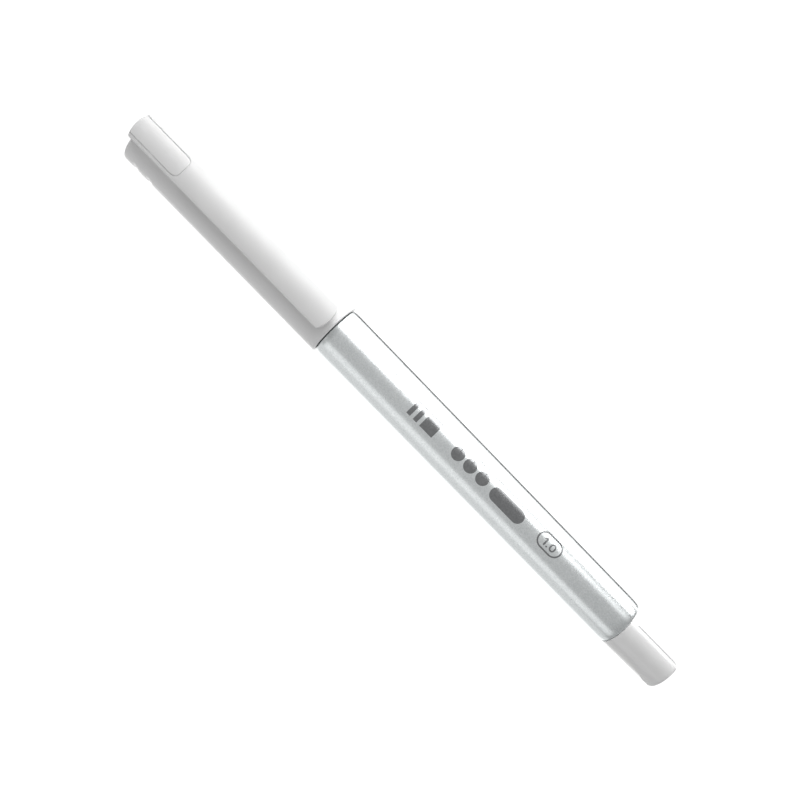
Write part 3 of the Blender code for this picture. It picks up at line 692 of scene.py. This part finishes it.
def make_tail_plug(mat):
    """Stub with its pressed-in sleeve, and the small dimple in its end."""
    rings = [flanked_ring(TAIL_ROOT, 0.0, TAIL_RADIUS_ROOT)]
    for x, reach in arc((TAIL_END - TAIL_EDGE, 0), TAIL_EDGE, 90, 0, 8):
        rings.append(flanked_ring(x, TAIL_EDGE - reach, TAIL_RADIUS_END))
    plug = new_object("tail_stub", loft_mesh("tail_stub", rings))
    overlap = TAIL_SLEEVE_OVERLAP
    sleeve = spin_mesh("sleeve", rounded([
        (TAIL_FRONT, 0.0), (TAIL_FRONT, TAIL_SLEEVE_RADIUS, 0.4 * MM),
        (TAIL_ROOT, TAIL_SLEEVE_RADIUS), (TAIL_ROOT, TAIL_FLANK - overlap),
        (TAIL_ROOT + overlap, TAIL_FLANK - overlap), (TAIL_ROOT + overlap, 0.0)], 0.0),
        BODY_FACETS, False)
    shape_with(plug, sleeve, "UNION")
    floor = TAIL_END - DIMPLE_DEPTH
    mouth = TAIL_END + 0.1 * MM
    dimple = spin_mesh("dimple", [(floor, 0.0), (floor, DIMPLE_RADIUS),
                                  (mouth, DIMPLE_RADIUS + DIMPLE_DEPTH), (mouth, 0.0)],
                       SMALL_FACETS, False)
    dimple.transform(Matrix.Translation((0.0, DIMPLE_Y, 0.0)))
    shape_with(plug, dimple, "DIFFERENCE")
    place(plug, "barrel", "white_plug", mat, "tail_plug")


def scallop_mesh(centre, side):
    """Upright rod that hollows the cap's side a little, at one side of the pen."""
    middle_y = side * (CAP_RADIUS_END - SCALLOP_DEPTH + SCALLOP_RADIUS)
    outline = arc((centre, middle_y), SCALLOP_RADIUS, 0, 360, 96)[:-1]
    return prism_mesh("scallop", [Vector((x, y, -SCALLOP_REACH)) for x, y in outline],
                      Vector((0, 0, 2 * SCALLOP_REACH)))


def make_cap(mat):
    """Cap tube with a closed end, whose profile starts in the hole of that end."""
    inner_end = CAP_END + CAP_END_WALL
    start = (CAP_END + CAP_END_WALL / 2, CAP_END_HOLE)
    profile = rounded([start, (CAP_END, CAP_END_HOLE, 0.1 * MM),
                       (CAP_END, CAP_RADIUS_END, 0.45 * MM),
                       (CAP_MOUTH, CAP_RADIUS_MOUTH, 0.2 * MM), (CAP_MOUTH, CAP_BORE, 0.15 * MM),
                       (CAP_BORE_STEP, CAP_BORE, 0.1 * MM),
                       (CAP_BORE_STEP - 0.4 * MM, CAP_BORE_DEEP, 0.1 * MM),
                       (inner_end, CAP_BORE_DEEP, 0.3 * MM), (inner_end, CAP_END_HOLE, 0.1 * MM),
                       start], 0.1 * MM, 6)[:-1]
    cap = turned("cap", profile)
    for centre in SCALLOP_CENTRES:
        for side in (-1, 1):
            shape_with(cap, scallop_mesh(centre, side), "DIFFERENCE")
    soften(cap, 0.18 * MM, 4, 18.0)
    place(cap, "cap", "white_cap", mat, "cap_shell")


def make_cap_end_plug(mat):
    """Vented disc in the hole of the cap's end, with a flange behind the wall."""
    front = low("cap_end_plug", 0)
    rear = high("cap_end_plug", 0)
    flange = high("cap_end_plug", 1)
    step = CAP_END + CAP_END_WALL + 0.1 * MM
    disc = CAP_END_HOLE - 0.06 * MM
    vent = CAP_PLUG_VENT
    start = ((front + rear) / 2, vent)
    profile = rounded([start, (front, vent, 0.2 * MM), (front, disc, 0.12 * MM),
                       (step, disc, 0.05 * MM), (step, flange, 0.1 * MM), (rear, flange, 0.1 * MM),
                       (rear, vent, 0.1 * MM), start], 0.1 * MM)[:-1]
    plug = turned("cap_plug", profile, SMALL_FACETS)
    place(plug, "cap", "white_plug", mat, "cap_end_plug")


def clip_section(x, half_width, bottom):
    """Cross-section of the clip at x: crowned top, rounded edges, leaning sides, flat bottom."""
    top_centre = CLIP_TOP - CLIP_CROWN
    reach = CLIP_CROWN - CLIP_EDGE
    edge_angle = math.asin((half_width - CLIP_EDGE) / reach)
    edge_y = reach * math.sin(edge_angle)
    edge_z = top_centre + reach * math.cos(edge_angle)
    lean = math.degrees(edge_angle)
    right = arc((edge_y, edge_z), CLIP_EDGE, 0, 90 - lean, 6)
    top = arc((0, top_centre), CLIP_CROWN, 90 - lean, 90 + lean, 20)[1:-1]
    left = arc((-edge_y, edge_z), CLIP_EDGE, 90 + lean, 180, 6)
    half_base = half_width - CLIP_SIDE_LEAN * (edge_z - bottom)
    base = [(half_base * (step / 5 - 1), bottom) for step in range(11)]
    return [Vector((x, y, z)) for y, z in right + top + left + base]


def bulged_end(end, bulge, direction):
    """Places along one end of the clip, with how far its side is drawn in there.

    Seen from above the end is half an ellipse, which reaches bulge past where its side is straight.
    """
    first = 10.0
    steps = 20
    places = []
    for step in range(steps + 1):
        angle = math.radians(first + (90.0 - first) * step / steps)
        x = end - direction * bulge * (math.cos(math.radians(first)) - math.cos(angle))
        places.append((x, CLIP_HALF_WIDTH * (1 - math.sin(angle))))
    return places[::-1] if direction > 0 else places


def clip_bottom(x):
    """Height of the clip's underside: in the cap's wall at the root, then up to the blade."""
    blade = CLIP_TOP - CLIP_THICKNESS
    start = CLIP_HINGE - CLIP_FILLET
    if x <= start:
        return CLIP_ROOT_BOTTOM
    if x >= CLIP_HINGE:
        return blade
    share = (x - start) / CLIP_FILLET
    return blade - (blade - CLIP_ROOT_BOTTOM) * (1 - math.sqrt(1 - (1 - share) ** 2))


def clip_rings(start, end, bottom_at):
    """Cross-sections of the clip from its root end to its tip."""
    places = bulged_end(start, CLIP_END_BULGE, -1)
    straight_start = start + CLIP_END_BULGE
    straight_end = end - CLIP_TIP_BULGE
    spacing = 0.25 * MM
    count = round((straight_end - straight_start) / spacing)
    for index in range(1, count):
        places.append((straight_start + (straight_end - straight_start) * index / count, 0.0))
    places += bulged_end(end, CLIP_TIP_BULGE, 1)
    return [clip_section(x, CLIP_HALF_WIDTH - inset, bottom_at(x)) for x, inset in places]


def panel_plan(name, margin, bottom, height):
    """Upright block with the inlay's plan, grown by a margin, which reaches past the clip's end."""
    half_width = PANEL_HALF_WIDTH + margin
    inner_end = PANEL_INNER_END + margin
    corner = PANEL_CORNER + margin
    outer_end = CLIP_END - 1.0 * MM
    outline = [(outer_end, -half_width)]
    outline += arc((inner_end - corner, -half_width + corner), corner, 270, 360, 14)
    outline += arc((inner_end - corner, half_width - corner), corner, 0, 90, 14)
    outline.append((outer_end, half_width))
    return prism_mesh(name, [Vector((x, y, bottom)) for x, y in outline], Vector((0, 0, height)))


def bead_mesh():
    """Bead under the clip's tip, which grips cloth or paper against the cap."""
    bm = bmesh.new()
    bmesh.ops.create_uvsphere(bm, u_segments=48, v_segments=24, radius=BEAD_RADIUS)
    bmesh.ops.scale(bm, vec=BEAD_STRETCH, verts=bm.verts)
    centre = Vector((CLIP_TIP - BEAD_FROM_TIP, 0.0, CLIP_TOP - CLIP_THICKNESS + BEAD_RISE))
    bmesh.ops.translate(bm, vec=centre, verts=bm.verts)
    # The bead stays inside the blade's top.
    for vert in bm.verts:
        vert.co.z = min(vert.co.z, CLIP_TOP - 0.3 * MM)
    return mesh_from(bm, "bead")


def make_clip(mat):
    """Root and blade as one moulding, whose underside curves up where the blade leaves the root."""
    clip = new_object("clip", loft_mesh("clip", clip_rings(CLIP_END, CLIP_TIP, clip_bottom)))
    pocket = panel_plan("pocket", PANEL_GROOVE, CLIP_TOP - PANEL_DEPTH, 3.0 * MM)
    shape_with(clip, pocket, "DIFFERENCE")
    shape_with(clip, bead_mesh(), "UNION")
    soften(clip, 0.09 * MM, 3, 50.0)
    clip.data.materials.clear()
    clip.data.materials.append(mat)
    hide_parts("clip_root", "clip_blade")
    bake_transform(clip)


def make_clip_panel(mat):
    """The inlay, cut from the clip's own crowned body, with a lower skirt that floors its seam."""
    rings = clip_rings(CLIP_END, CLIP_HINGE, lambda x: PANEL_UNDERSIDE)
    panel = new_object("clip_inlay", loft_mesh("clip_inlay", rings))
    plan = panel_plan("plan", 0.0, PANEL_UNDERSIDE - 1.0 * MM, 4.0 * MM)
    shape_with(panel, plan, "INTERSECT")
    lower_rings = [[point - Vector((0, 0, PANEL_SEAM)) for point in ring] for ring in rings]
    skirt = new_object("skirt", loft_mesh("skirt", lower_rings))
    skirt_plan = panel_plan("skirt_plan", PANEL_GROOVE - 0.02 * MM, PANEL_UNDERSIDE, 4.0 * MM)
    shape_with(skirt, skirt_plan, "INTERSECT")
    shape_with(panel, skirt.data.copy(), "UNION")
    bpy.data.objects.remove(skirt, do_unlink=True)
    soften(panel, 0.05 * MM, 2, 50.0)
    place(panel, "cap", "white_cap", mat, "clip_panel")


def make_front_section(mat):
    """Threaded shank, collar, grip seat, land and nipple. The thread is a set of rings."""
    front = low("front_section", 0)
    rear = high("front_section", 0)
    collar = high("front_section", 1)
    root = SHANK_RADIUS - THREAD_DEPTH
    start = (rear - 2 * MM, SECTION_BORE)
    points = [start, (rear, SECTION_BORE), (rear, root)]
    for turn in range(THREAD_TURNS, 0, -1):
        points.append((THREAD_START + turn * THREAD_PITCH, SHANK_RADIUS, 0.08 * MM))
        points.append((THREAD_START + (turn - 0.5) * THREAD_PITCH, root, 0.08 * MM))
    points += [(THREAD_START, SHANK_RADIUS, 0.08 * MM), (COLLAR_REAR, SHANK_RADIUS, 0.0),
               (COLLAR_REAR, collar, 0.1 * MM), (COLLAR_FRONT, collar, 0.25 * MM),
               (COLLAR_FRONT, GRIP_SEAT_RADIUS, 0.0), (GRIP_SEAT_FRONT, GRIP_SEAT_RADIUS, 0.0),
               (GRIP_SEAT_FRONT, LAND_RADIUS, 0.1 * MM), (LAND_FRONT, LAND_RADIUS, 0.1 * MM),
               (LAND_FRONT, NIPPLE_RADIUS, 0.0), (front, NIPPLE_RADIUS, 0.1 * MM),
               (front, SECTION_BORE, 0.0), start]
    section = turned("section", rounded(points, 0.05 * MM, 4)[:-1], SMALL_FACETS)
    # The collar's near-black colour also paints the shade in the narrow gap at the cap's mouth.
    place(section, "barrel", "dark_plastic", mat, "front_section")


def make_grip(mat):
    """Sleeve whose grooves have round bottoms and lips."""
    front = low("grip_sleeve", 0)
    rear = high("grip_sleeve", 0)
    radius = high("grip_sleeve", 1)
    floor = radius - GRIP_GROOVE_DEPTH
    pitch = (rear - front - 2 * GRIP_MARGIN) / GRIP_GROOVES
    start = ((front + rear) / 2, GRIP_BORE)
    points = [start, (front, GRIP_BORE, 0.05 * MM), (front, GRIP_LIP_RADIUS, 0.15 * MM),
              (front + GRIP_LIP, radius, 0.3 * MM)]
    for groove in range(GRIP_GROOVES):
        middle = front + GRIP_MARGIN + (groove + 0.5) * pitch
        points += [(middle - GRIP_GROOVE_WIDTH / 2, radius, 0.15 * MM),
                   (middle - GRIP_GROOVE_FLOOR / 2, floor, 0.15 * MM),
                   (middle + GRIP_GROOVE_FLOOR / 2, floor, 0.15 * MM),
                   (middle + GRIP_GROOVE_WIDTH / 2, radius, 0.15 * MM)]
    points += [(rear, radius, 0.25 * MM), (rear, GRIP_BORE, 0.05 * MM), start]
    grip = turned("grip", rounded(points, 0.1 * MM, 4)[:-1], SMALL_FACETS)
    place(grip, "barrel", "grip_rubber", mat, "grip_sleeve")


def make_nose_cone(mat):
    """Cone with a decorative ring groove near its rear, a bore for the nipple and a front hole."""
    rear = high("nose_cone", 0)
    front = low("nose_cone", 0)
    radius = high("nose_cone", 1)
    ring_rear = rear - CONE_RING_REAR
    ring_front = rear - CONE_RING_FRONT
    floor = radius - CONE_RING_DEPTH
    start = (-50.0 * MM, CONE_BORE)
    points = [start, (rear, CONE_BORE), (rear, radius, 0.12 * MM),
              (ring_rear, radius), (ring_rear - 0.2 * MM, floor),
              (ring_front + 0.2 * MM, floor), (ring_front, radius - 0.03 * MM, 0.1 * MM),
              (CONE_SHOULDER, CONE_SHOULDER_RADIUS, 6.0 * MM),
              (front + 0.3 * MM, CONE_TIP_RADIUS, 0.25 * MM), (front, 1.4 * MM, 0.1 * MM),
              (front, CONE_HOLE), (front + CONE_HOLE_LENGTH, CONE_HOLE),
              (CONE_STEP, CONE_STEP_RADIUS), (CONE_STEP, CONE_BORE), start]
    cone = turned("cone", rounded(points, 0.05 * MM, 6)[:-1])
    place(cone, "barrel", "bright_metal", mat, "nose_cone")


def make_point(mat):
    """Turned point: a shank, a taper and a rim round the ball, over a socket and an ink bore."""
    front = low("writing_point", 0)
    rear = high("writing_point", 0)
    ball_x = (low("point_ball", 0) + high("point_ball", 0)) / 2
    start = (ball_x + 0.1 * MM, POINT_SOCKET)
    points = [start, (ball_x - 0.05 * MM, POINT_SOCKET), (front, 0.46 * MM, 0.01 * MM),
              (front + 0.02 * MM, 0.56 * MM, 0.03 * MM), (front + 0.35 * MM, 0.62 * MM, 0.05 * MM),
              (POINT_TAPER, POINT_RADIUS, 0.2 * MM), (rear, POINT_RADIUS, 0.1 * MM),
              (rear, POINT_BORE), (ball_x + 0.75 * MM, POINT_BORE),
              (ball_x + 0.45 * MM, 0.42 * MM), (ball_x + 0.3 * MM, POINT_SOCKET), start]
    point = turned("metal_point", rounded(points, 0.02 * MM, 4)[:-1], SMALL_FACETS)
    place(point, "barrel", "point_metal", mat, "writing_point")


def make_ball(mat):
    """The ball, with its own axis at its centre."""
    low_corner, high_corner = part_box("point_ball")
    bm = bmesh.new()
    bmesh.ops.create_icosphere(bm, subdivisions=4, radius=(high_corner.x - low_corner.x) / 2)
    ball = new_object("ball", mesh_from(bm, "ball"), (low_corner + high_corner) / 2)
    place(ball, "ball", "bright_metal", mat, "point_ball")


def make_ink(mat):
    """The ink column, in rings along its length, with a mesh of its own."""
    front = low("ink_column", 0)
    rear = high("ink_column", 0)
    radius = high("ink_column", 1)
    length = rear - front
    rings = 12
    wall = [(front + length * step / rings, radius) for step in range(rings + 1)]
    ink = turned("ink", [(front, 0.0)] + wall + [(rear, 0.0)], SMALL_FACETS, closed=False)
    place(ink, "barrel", "white_ink", mat, "ink_column")
    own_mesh(ink)


def smooth_cad(node, mat):
    """Keep a CAD node's own shape, joined and shaded smooth, with its material."""
    obj = frame["nodes"][node]
    for polygon in obj.data.polygons:
        polygon.use_smooth = True
    weld = obj.modifiers.new("join", "WELD")
    weld.merge_threshold = WELD_GAP
    split = obj.modifiers.new("edges", "EDGE_SPLIT")
    split.split_angle = math.radians(SMOOTH_ANGLE)
    obj.data.materials.clear()
    obj.data.materials.append(mat)


# ----------------------------------------------------------------------------------------- print


def on_barrel(along, across):
    """Lay a flat point on the barrel: across is measured round it from the top towards +Y."""
    radius = barrel_radius(along) + PRINT_LIFT
    angle = across / radius
    return Vector((along, radius * math.sin(angle), radius * math.cos(angle)))


def add_patch(bm, columns):
    """Filled shape: each column is (along, lowest across, highest across)."""
    tallest = max(top - bottom for _, bottom, top in columns)
    rows = max(1, math.ceil(tallest / (0.3 * MM)))
    grid = []
    for along, bottom, top in columns:
        grid.append([bm.verts.new(on_barrel(along, bottom + (top - bottom) * row / rows))
                     for row in range(rows + 1)])
    for one, other in zip(grid, grid[1:]):
        for row in range(rows):
            bm.faces.new((one[row], other[row], other[row + 1], one[row + 1]))


def add_stroke(bm, line, width):
    """Closed stroke of even width along a ring of (along, across) points."""
    inner = []
    outer = []
    for index, point in enumerate(line):
        onward = Vector(line[(index + 1) % len(line)]) - Vector(line[index - 1])
        side = Vector((-onward.y, onward.x)).normalized() * width / 2
        inner.append(bm.verts.new(on_barrel(*(Vector(point) + side))))
        outer.append(bm.verts.new(on_barrel(*(Vector(point) - side))))
    for index in range(len(line)):
        after = (index + 1) % len(line)
        bm.faces.new((inner[index], outer[index], outer[after], inner[after]))


def pill(x_from, x_to, bottom, top, steps=16):
    """Columns of a bar with round ends, for add_patch."""
    radius = (top - bottom) / 2
    middle = (top + bottom) / 2
    columns = []
    for x_centre, first, last in ((x_from + radius, 180, 90), (x_to - radius, 90, 0)):
        for x, half in arc((x_centre, 0.0), radius, first, last, steps):
            half = max(half, 0.01 * MM)
            columns.append((x, middle - half, middle + half))
    return columns


def ring_line(x_from, x_to, bottom, top):
    """Points round the outline of a bar with round ends."""
    radius = (top - bottom) / 2
    middle = (top + bottom) / 2
    return (arc((x_to - radius, middle), radius, -90, 90, 20)
            + arc((x_from + radius, middle), radius, 90, 270, 20))


def ring_outline(x_from, x_to, bottom, top):
    """Points round the outline of an upright bar with round ends."""
    radius = (x_to - x_from) / 2
    middle = (x_from + x_to) / 2
    return (arc((middle, top - radius), radius, 0, 180, 16)
            + arc((middle, bottom + radius), radius, 180, 360, 16))


def print_piece(name, bm, mat):
    """Give the printed shapes their thickness and lay them on the barrel."""
    bmesh.ops.recalc_face_normals(bm, faces=bm.faces)
    bmesh.ops.solidify(bm, geom=bm.faces, thickness=PRINT_THICKNESS)
    piece = new_object(name, mesh_from(bm, name))
    place(piece, "barrel", "dark_plastic", mat)


def make_print(mat):
    """Generic marks: bars, dots and a filled pill, and the line width of 1.0 in an oval."""
    bars = bmesh.new()
    for x_from, x_to in PRINT_BARS:
        add_patch(bars, [(x_from, *PRINT_BAR_SIDES), (x_to, *PRINT_BAR_SIDES)])
    print_piece("print_bars", bars, mat)
    dots = bmesh.new()
    for x_from, x_to in PRINT_DOTS:
        add_patch(dots, pill(x_from, x_to, *PRINT_DOT_SIDES))
    print_piece("print_dots", dots, mat)
    tag = bmesh.new()
    add_patch(tag, pill(*PRINT_PILL))
    print_piece("print_pill", tag, mat)
    width = bmesh.new()
    add_stroke(width, ring_line(*PRINT_OVAL), PRINT_OVAL_LINE)
    add_patch(width, [(DIGIT_ONE - 0.35 * MM, DIGIT_TOP - 0.55 * MM, DIGIT_TOP - 0.25 * MM),
                      (DIGIT_ONE, DIGIT_TOP - 0.37 * MM, DIGIT_TOP)])
    add_patch(width, [(DIGIT_ONE, DIGIT_BOTTOM, DIGIT_TOP),
                      (DIGIT_ONE + DIGIT_LINE, DIGIT_BOTTOM, DIGIT_TOP)])
    add_patch(width, pill(DIGIT_DOT, DIGIT_DOT + DIGIT_LINE,
                          DIGIT_BOTTOM, DIGIT_BOTTOM + DIGIT_LINE, 6))
    inset = 0.16 * MM
    zero = ring_outline(*DIGIT_ZERO, DIGIT_BOTTOM + inset, DIGIT_TOP - inset)
    add_stroke(width, zero, DIGIT_ZERO_LINE)
    print_piece("print_width", width, mat)


def add_pieces():
    """Build every piece round the CAD model."""
    satin = satin_white()
    gloss = gloss_white()
    metal = bright_metal()
    liner = liner_plastic()
    make_barrel(frosted_silver())
    make_print(dark_foil())
    make_tail_plug(gloss)
    make_cap(satin)
    make_cap_end_plug(gloss)
    make_clip(satin)
    make_clip_panel(satin)
    make_front_section(dark_plastic())
    make_grip(grip_rubber())
    make_nose_cone(metal)
    make_point(point_metal())
    make_ball(metal)
    make_ink(white_ink())
    for node in ("inner_cap", "tip_holder", "refill_end_plug"):
        smooth_cad(node, liner)
    smooth_cad("tip_seal_pad", seal_rubber())
    smooth_cad("refill_tube", refill_plastic())
    smooth_cad("ball_spring", spring_steel())
    smooth_cad("ink_follower", follower_gel())


# ---------------------------------------------------------------------------------------- studio


def add_camera():
    """Camera over the pen, with the pen lying aslant in its picture."""
    tilt = math.radians(CAMERA_TILT)
    turn = math.radians(CAMERA_TURN)
    target = Vector((*CAMERA_TARGET, AXIS_Z))
    away = Vector((0.0, -math.sin(tilt), math.cos(tilt)))
    along = Vector((1.0, 0.0, 0.0))
    across = Vector((0.0, math.cos(tilt), math.sin(tilt)))
    right = along * math.cos(turn) + across * math.sin(turn)
    up = across * math.cos(turn) - along * math.sin(turn)
    data = bpy.data.cameras.new("camera")
    data.lens = CAMERA_LENS
    data.sensor_width = 36.0
    data.clip_start = 0.01
    camera = bpy.data.objects.new("camera", data)
    bpy.context.scene.collection.objects.link(camera)
    rotation = Matrix((right, up, away)).transposed()
    camera.matrix_world = Matrix.Translation(target + away * CAMERA_DISTANCE) @ rotation.to_4x4()
    bpy.context.scene.camera = camera


def add_panel(name, first, last, radiance, distance, x_from, x_to):
    """A soft light parallel to the pen, which spans two angles from overhead towards +Y."""
    half = math.radians((last - first) / 2)
    lean = math.radians((first + last) / 2)
    data = bpy.data.lights.new(name, "AREA")
    data.shape = "RECTANGLE"
    data.size = x_to - x_from
    data.size_y = 2 * distance * math.tan(half)
    data.energy = math.pi * data.size * data.size_y * radiance
    light = bpy.data.objects.new(name, data)
    bpy.context.scene.collection.objects.link(light)
    middle = Vector(((x_from + x_to) / 2, 0.0, 0.0))
    light.location = AXIS + middle + Vector((0.0, math.sin(lean), math.cos(lean))) * distance
    light.rotation_euler = (-lean, 0.0, 0.0)


def plane(name, x_from, x_to, y_from, y_to, z):
    """A flat rectangle, facing up, that is part of the studio."""
    bm = bmesh.new()
    corners = ((x_from, y_from), (x_to, y_from), (x_to, y_to), (x_from, y_to))
    bm.faces.new([bm.verts.new((x, y, z)) for x, y in corners])
    mesh = bpy.data.meshes.new(name)
    bm.to_mesh(mesh)
    bm.free()
    obj = bpy.data.objects.new(name, mesh)
    bpy.context.scene.collection.objects.link(obj)
    return obj


def add_floor():
    """White table, lit from below, with no mirror image of its own in the pen."""
    floor = plane("floor", -FLOOR_REACH, FLOOR_REACH, -FLOOR_REACH, FLOOR_REACH, 0.0)
    look = Nodes("floor_white", (0.16, 0.16, 0.16), 0.9)
    look.shader.inputs["Emission Color"].default_value = (1.0, 1.0, 1.0, 1.0)
    look.shader.inputs["Emission Strength"].default_value = FLOOR_GLOW
    look.tint((0.155, 0.155, 0.155), (0.165, 0.165, 0.165), look.noise(20.0))
    floor.data.materials.append(look.mat)
    floor.visible_glossy = False


def only_reflected(obj):
    """Leave a piece of the studio to be seen in mirror images only."""
    obj.visible_camera = False
    obj.visible_diffuse = False
    obj.visible_shadow = False
    obj.visible_transmission = False


def add_reflector():
    """Card under the pen that only reflections see: its tone changes across the pen."""
    card = plane("reflector", -CARD_REACH, CARD_END, -CARD_REACH, CARD_REACH, -CARD_DEPTH)
    only_reflected(card)
    mat = bpy.data.materials.new("reflector_tones")
    mat.use_nodes = True
    tree = mat.node_tree
    tree.nodes.clear()
    coords = tree.nodes.new("ShaderNodeTexCoord")
    split = tree.nodes.new("ShaderNodeSeparateXYZ")
    across = tree.nodes.new("ShaderNodeMapRange")
    ramp = tree.nodes.new("ShaderNodeValToRGB")
    glow = tree.nodes.new("ShaderNodeEmission")
    out = tree.nodes.new("ShaderNodeOutputMaterial")
    first = CARD_TONES[0][0]
    last = CARD_TONES[-1][0]
    across.inputs["From Min"].default_value = first
    across.inputs["From Max"].default_value = last
    while len(ramp.color_ramp.elements) < len(CARD_TONES):
        ramp.color_ramp.elements.new(0.5)
    for element, (y, tone) in zip(ramp.color_ramp.elements, CARD_TONES):
        element.position = (y - first) / (last - first)
        element.color = (tone, tone, tone, 1.0)
    glow.inputs["Strength"].default_value = CARD_STRENGTH
    tree.links.new(coords.outputs["Object"], split.inputs["Vector"])
    tree.links.new(split.outputs["Y"], across.inputs["Value"])
    tree.links.new(across.outputs["Result"], ramp.inputs["Fac"])
    tree.links.new(ramp.outputs["Color"], glow.inputs["Color"])
    tree.links.new(glow.outputs["Emission"], out.inputs["Surface"])
    card.data.materials.append(mat)


def add_painted_shade_strips():
    """Black strips of painted shade on the table at the pen's +Y side, in place of its shadow there:
    seen only in reflections, they draw a thin dark line along its edge.
    """
    # Near-black colour that paints the pen's shadow on the table, for reflections only.
    black = Nodes("painted_shade_black", (0.01, 0.01, 0.01), 0.9)
    black.tint((0.008, 0.008, 0.008), (0.012, 0.012, 0.012), black.noise(50.0))
    for name, x_from, x_to, y_from, y_to in SHADE_STRIPS:
        painted_strip = plane(name, x_from, x_to, y_from, y_to, SHADE_STRIP_LIFT)
        only_reflected(painted_strip)
        painted_strip.data.materials.append(black.mat)


def add_light():
    """Dim even room, with the long soft panels."""
    world = bpy.data.worlds.new("world")
    bpy.context.scene.world = world
    world.use_nodes = True
    background = world.node_tree.nodes["Background"]
    background.inputs["Color"].default_value = (1.0, 1.0, 1.0, 1.0)
    # Seen directly, beyond the table's edge, the room is as white as the table.
    rays = world.node_tree.nodes.new("ShaderNodeLightPath")
    strength = world.node_tree.nodes.new("ShaderNodeMapRange")
    strength.inputs["To Min"].default_value = ROOM_LIGHT
    strength.inputs["To Max"].default_value = 1.0
    world.node_tree.links.new(rays.outputs["Is Camera Ray"], strength.inputs["Value"])
    world.node_tree.links.new(strength.outputs["Result"], background.inputs["Strength"])
    for name, first, last, radiance, distance, x_from, x_to in PANELS:
        add_panel(name, first, last, radiance, distance, x_from, x_to)
    bpy.context.scene.view_settings.view_transform = "Standard"


add_camera()
add_floor()
add_reflector()
add_painted_shade_strips()
add_light()
add_pieces()
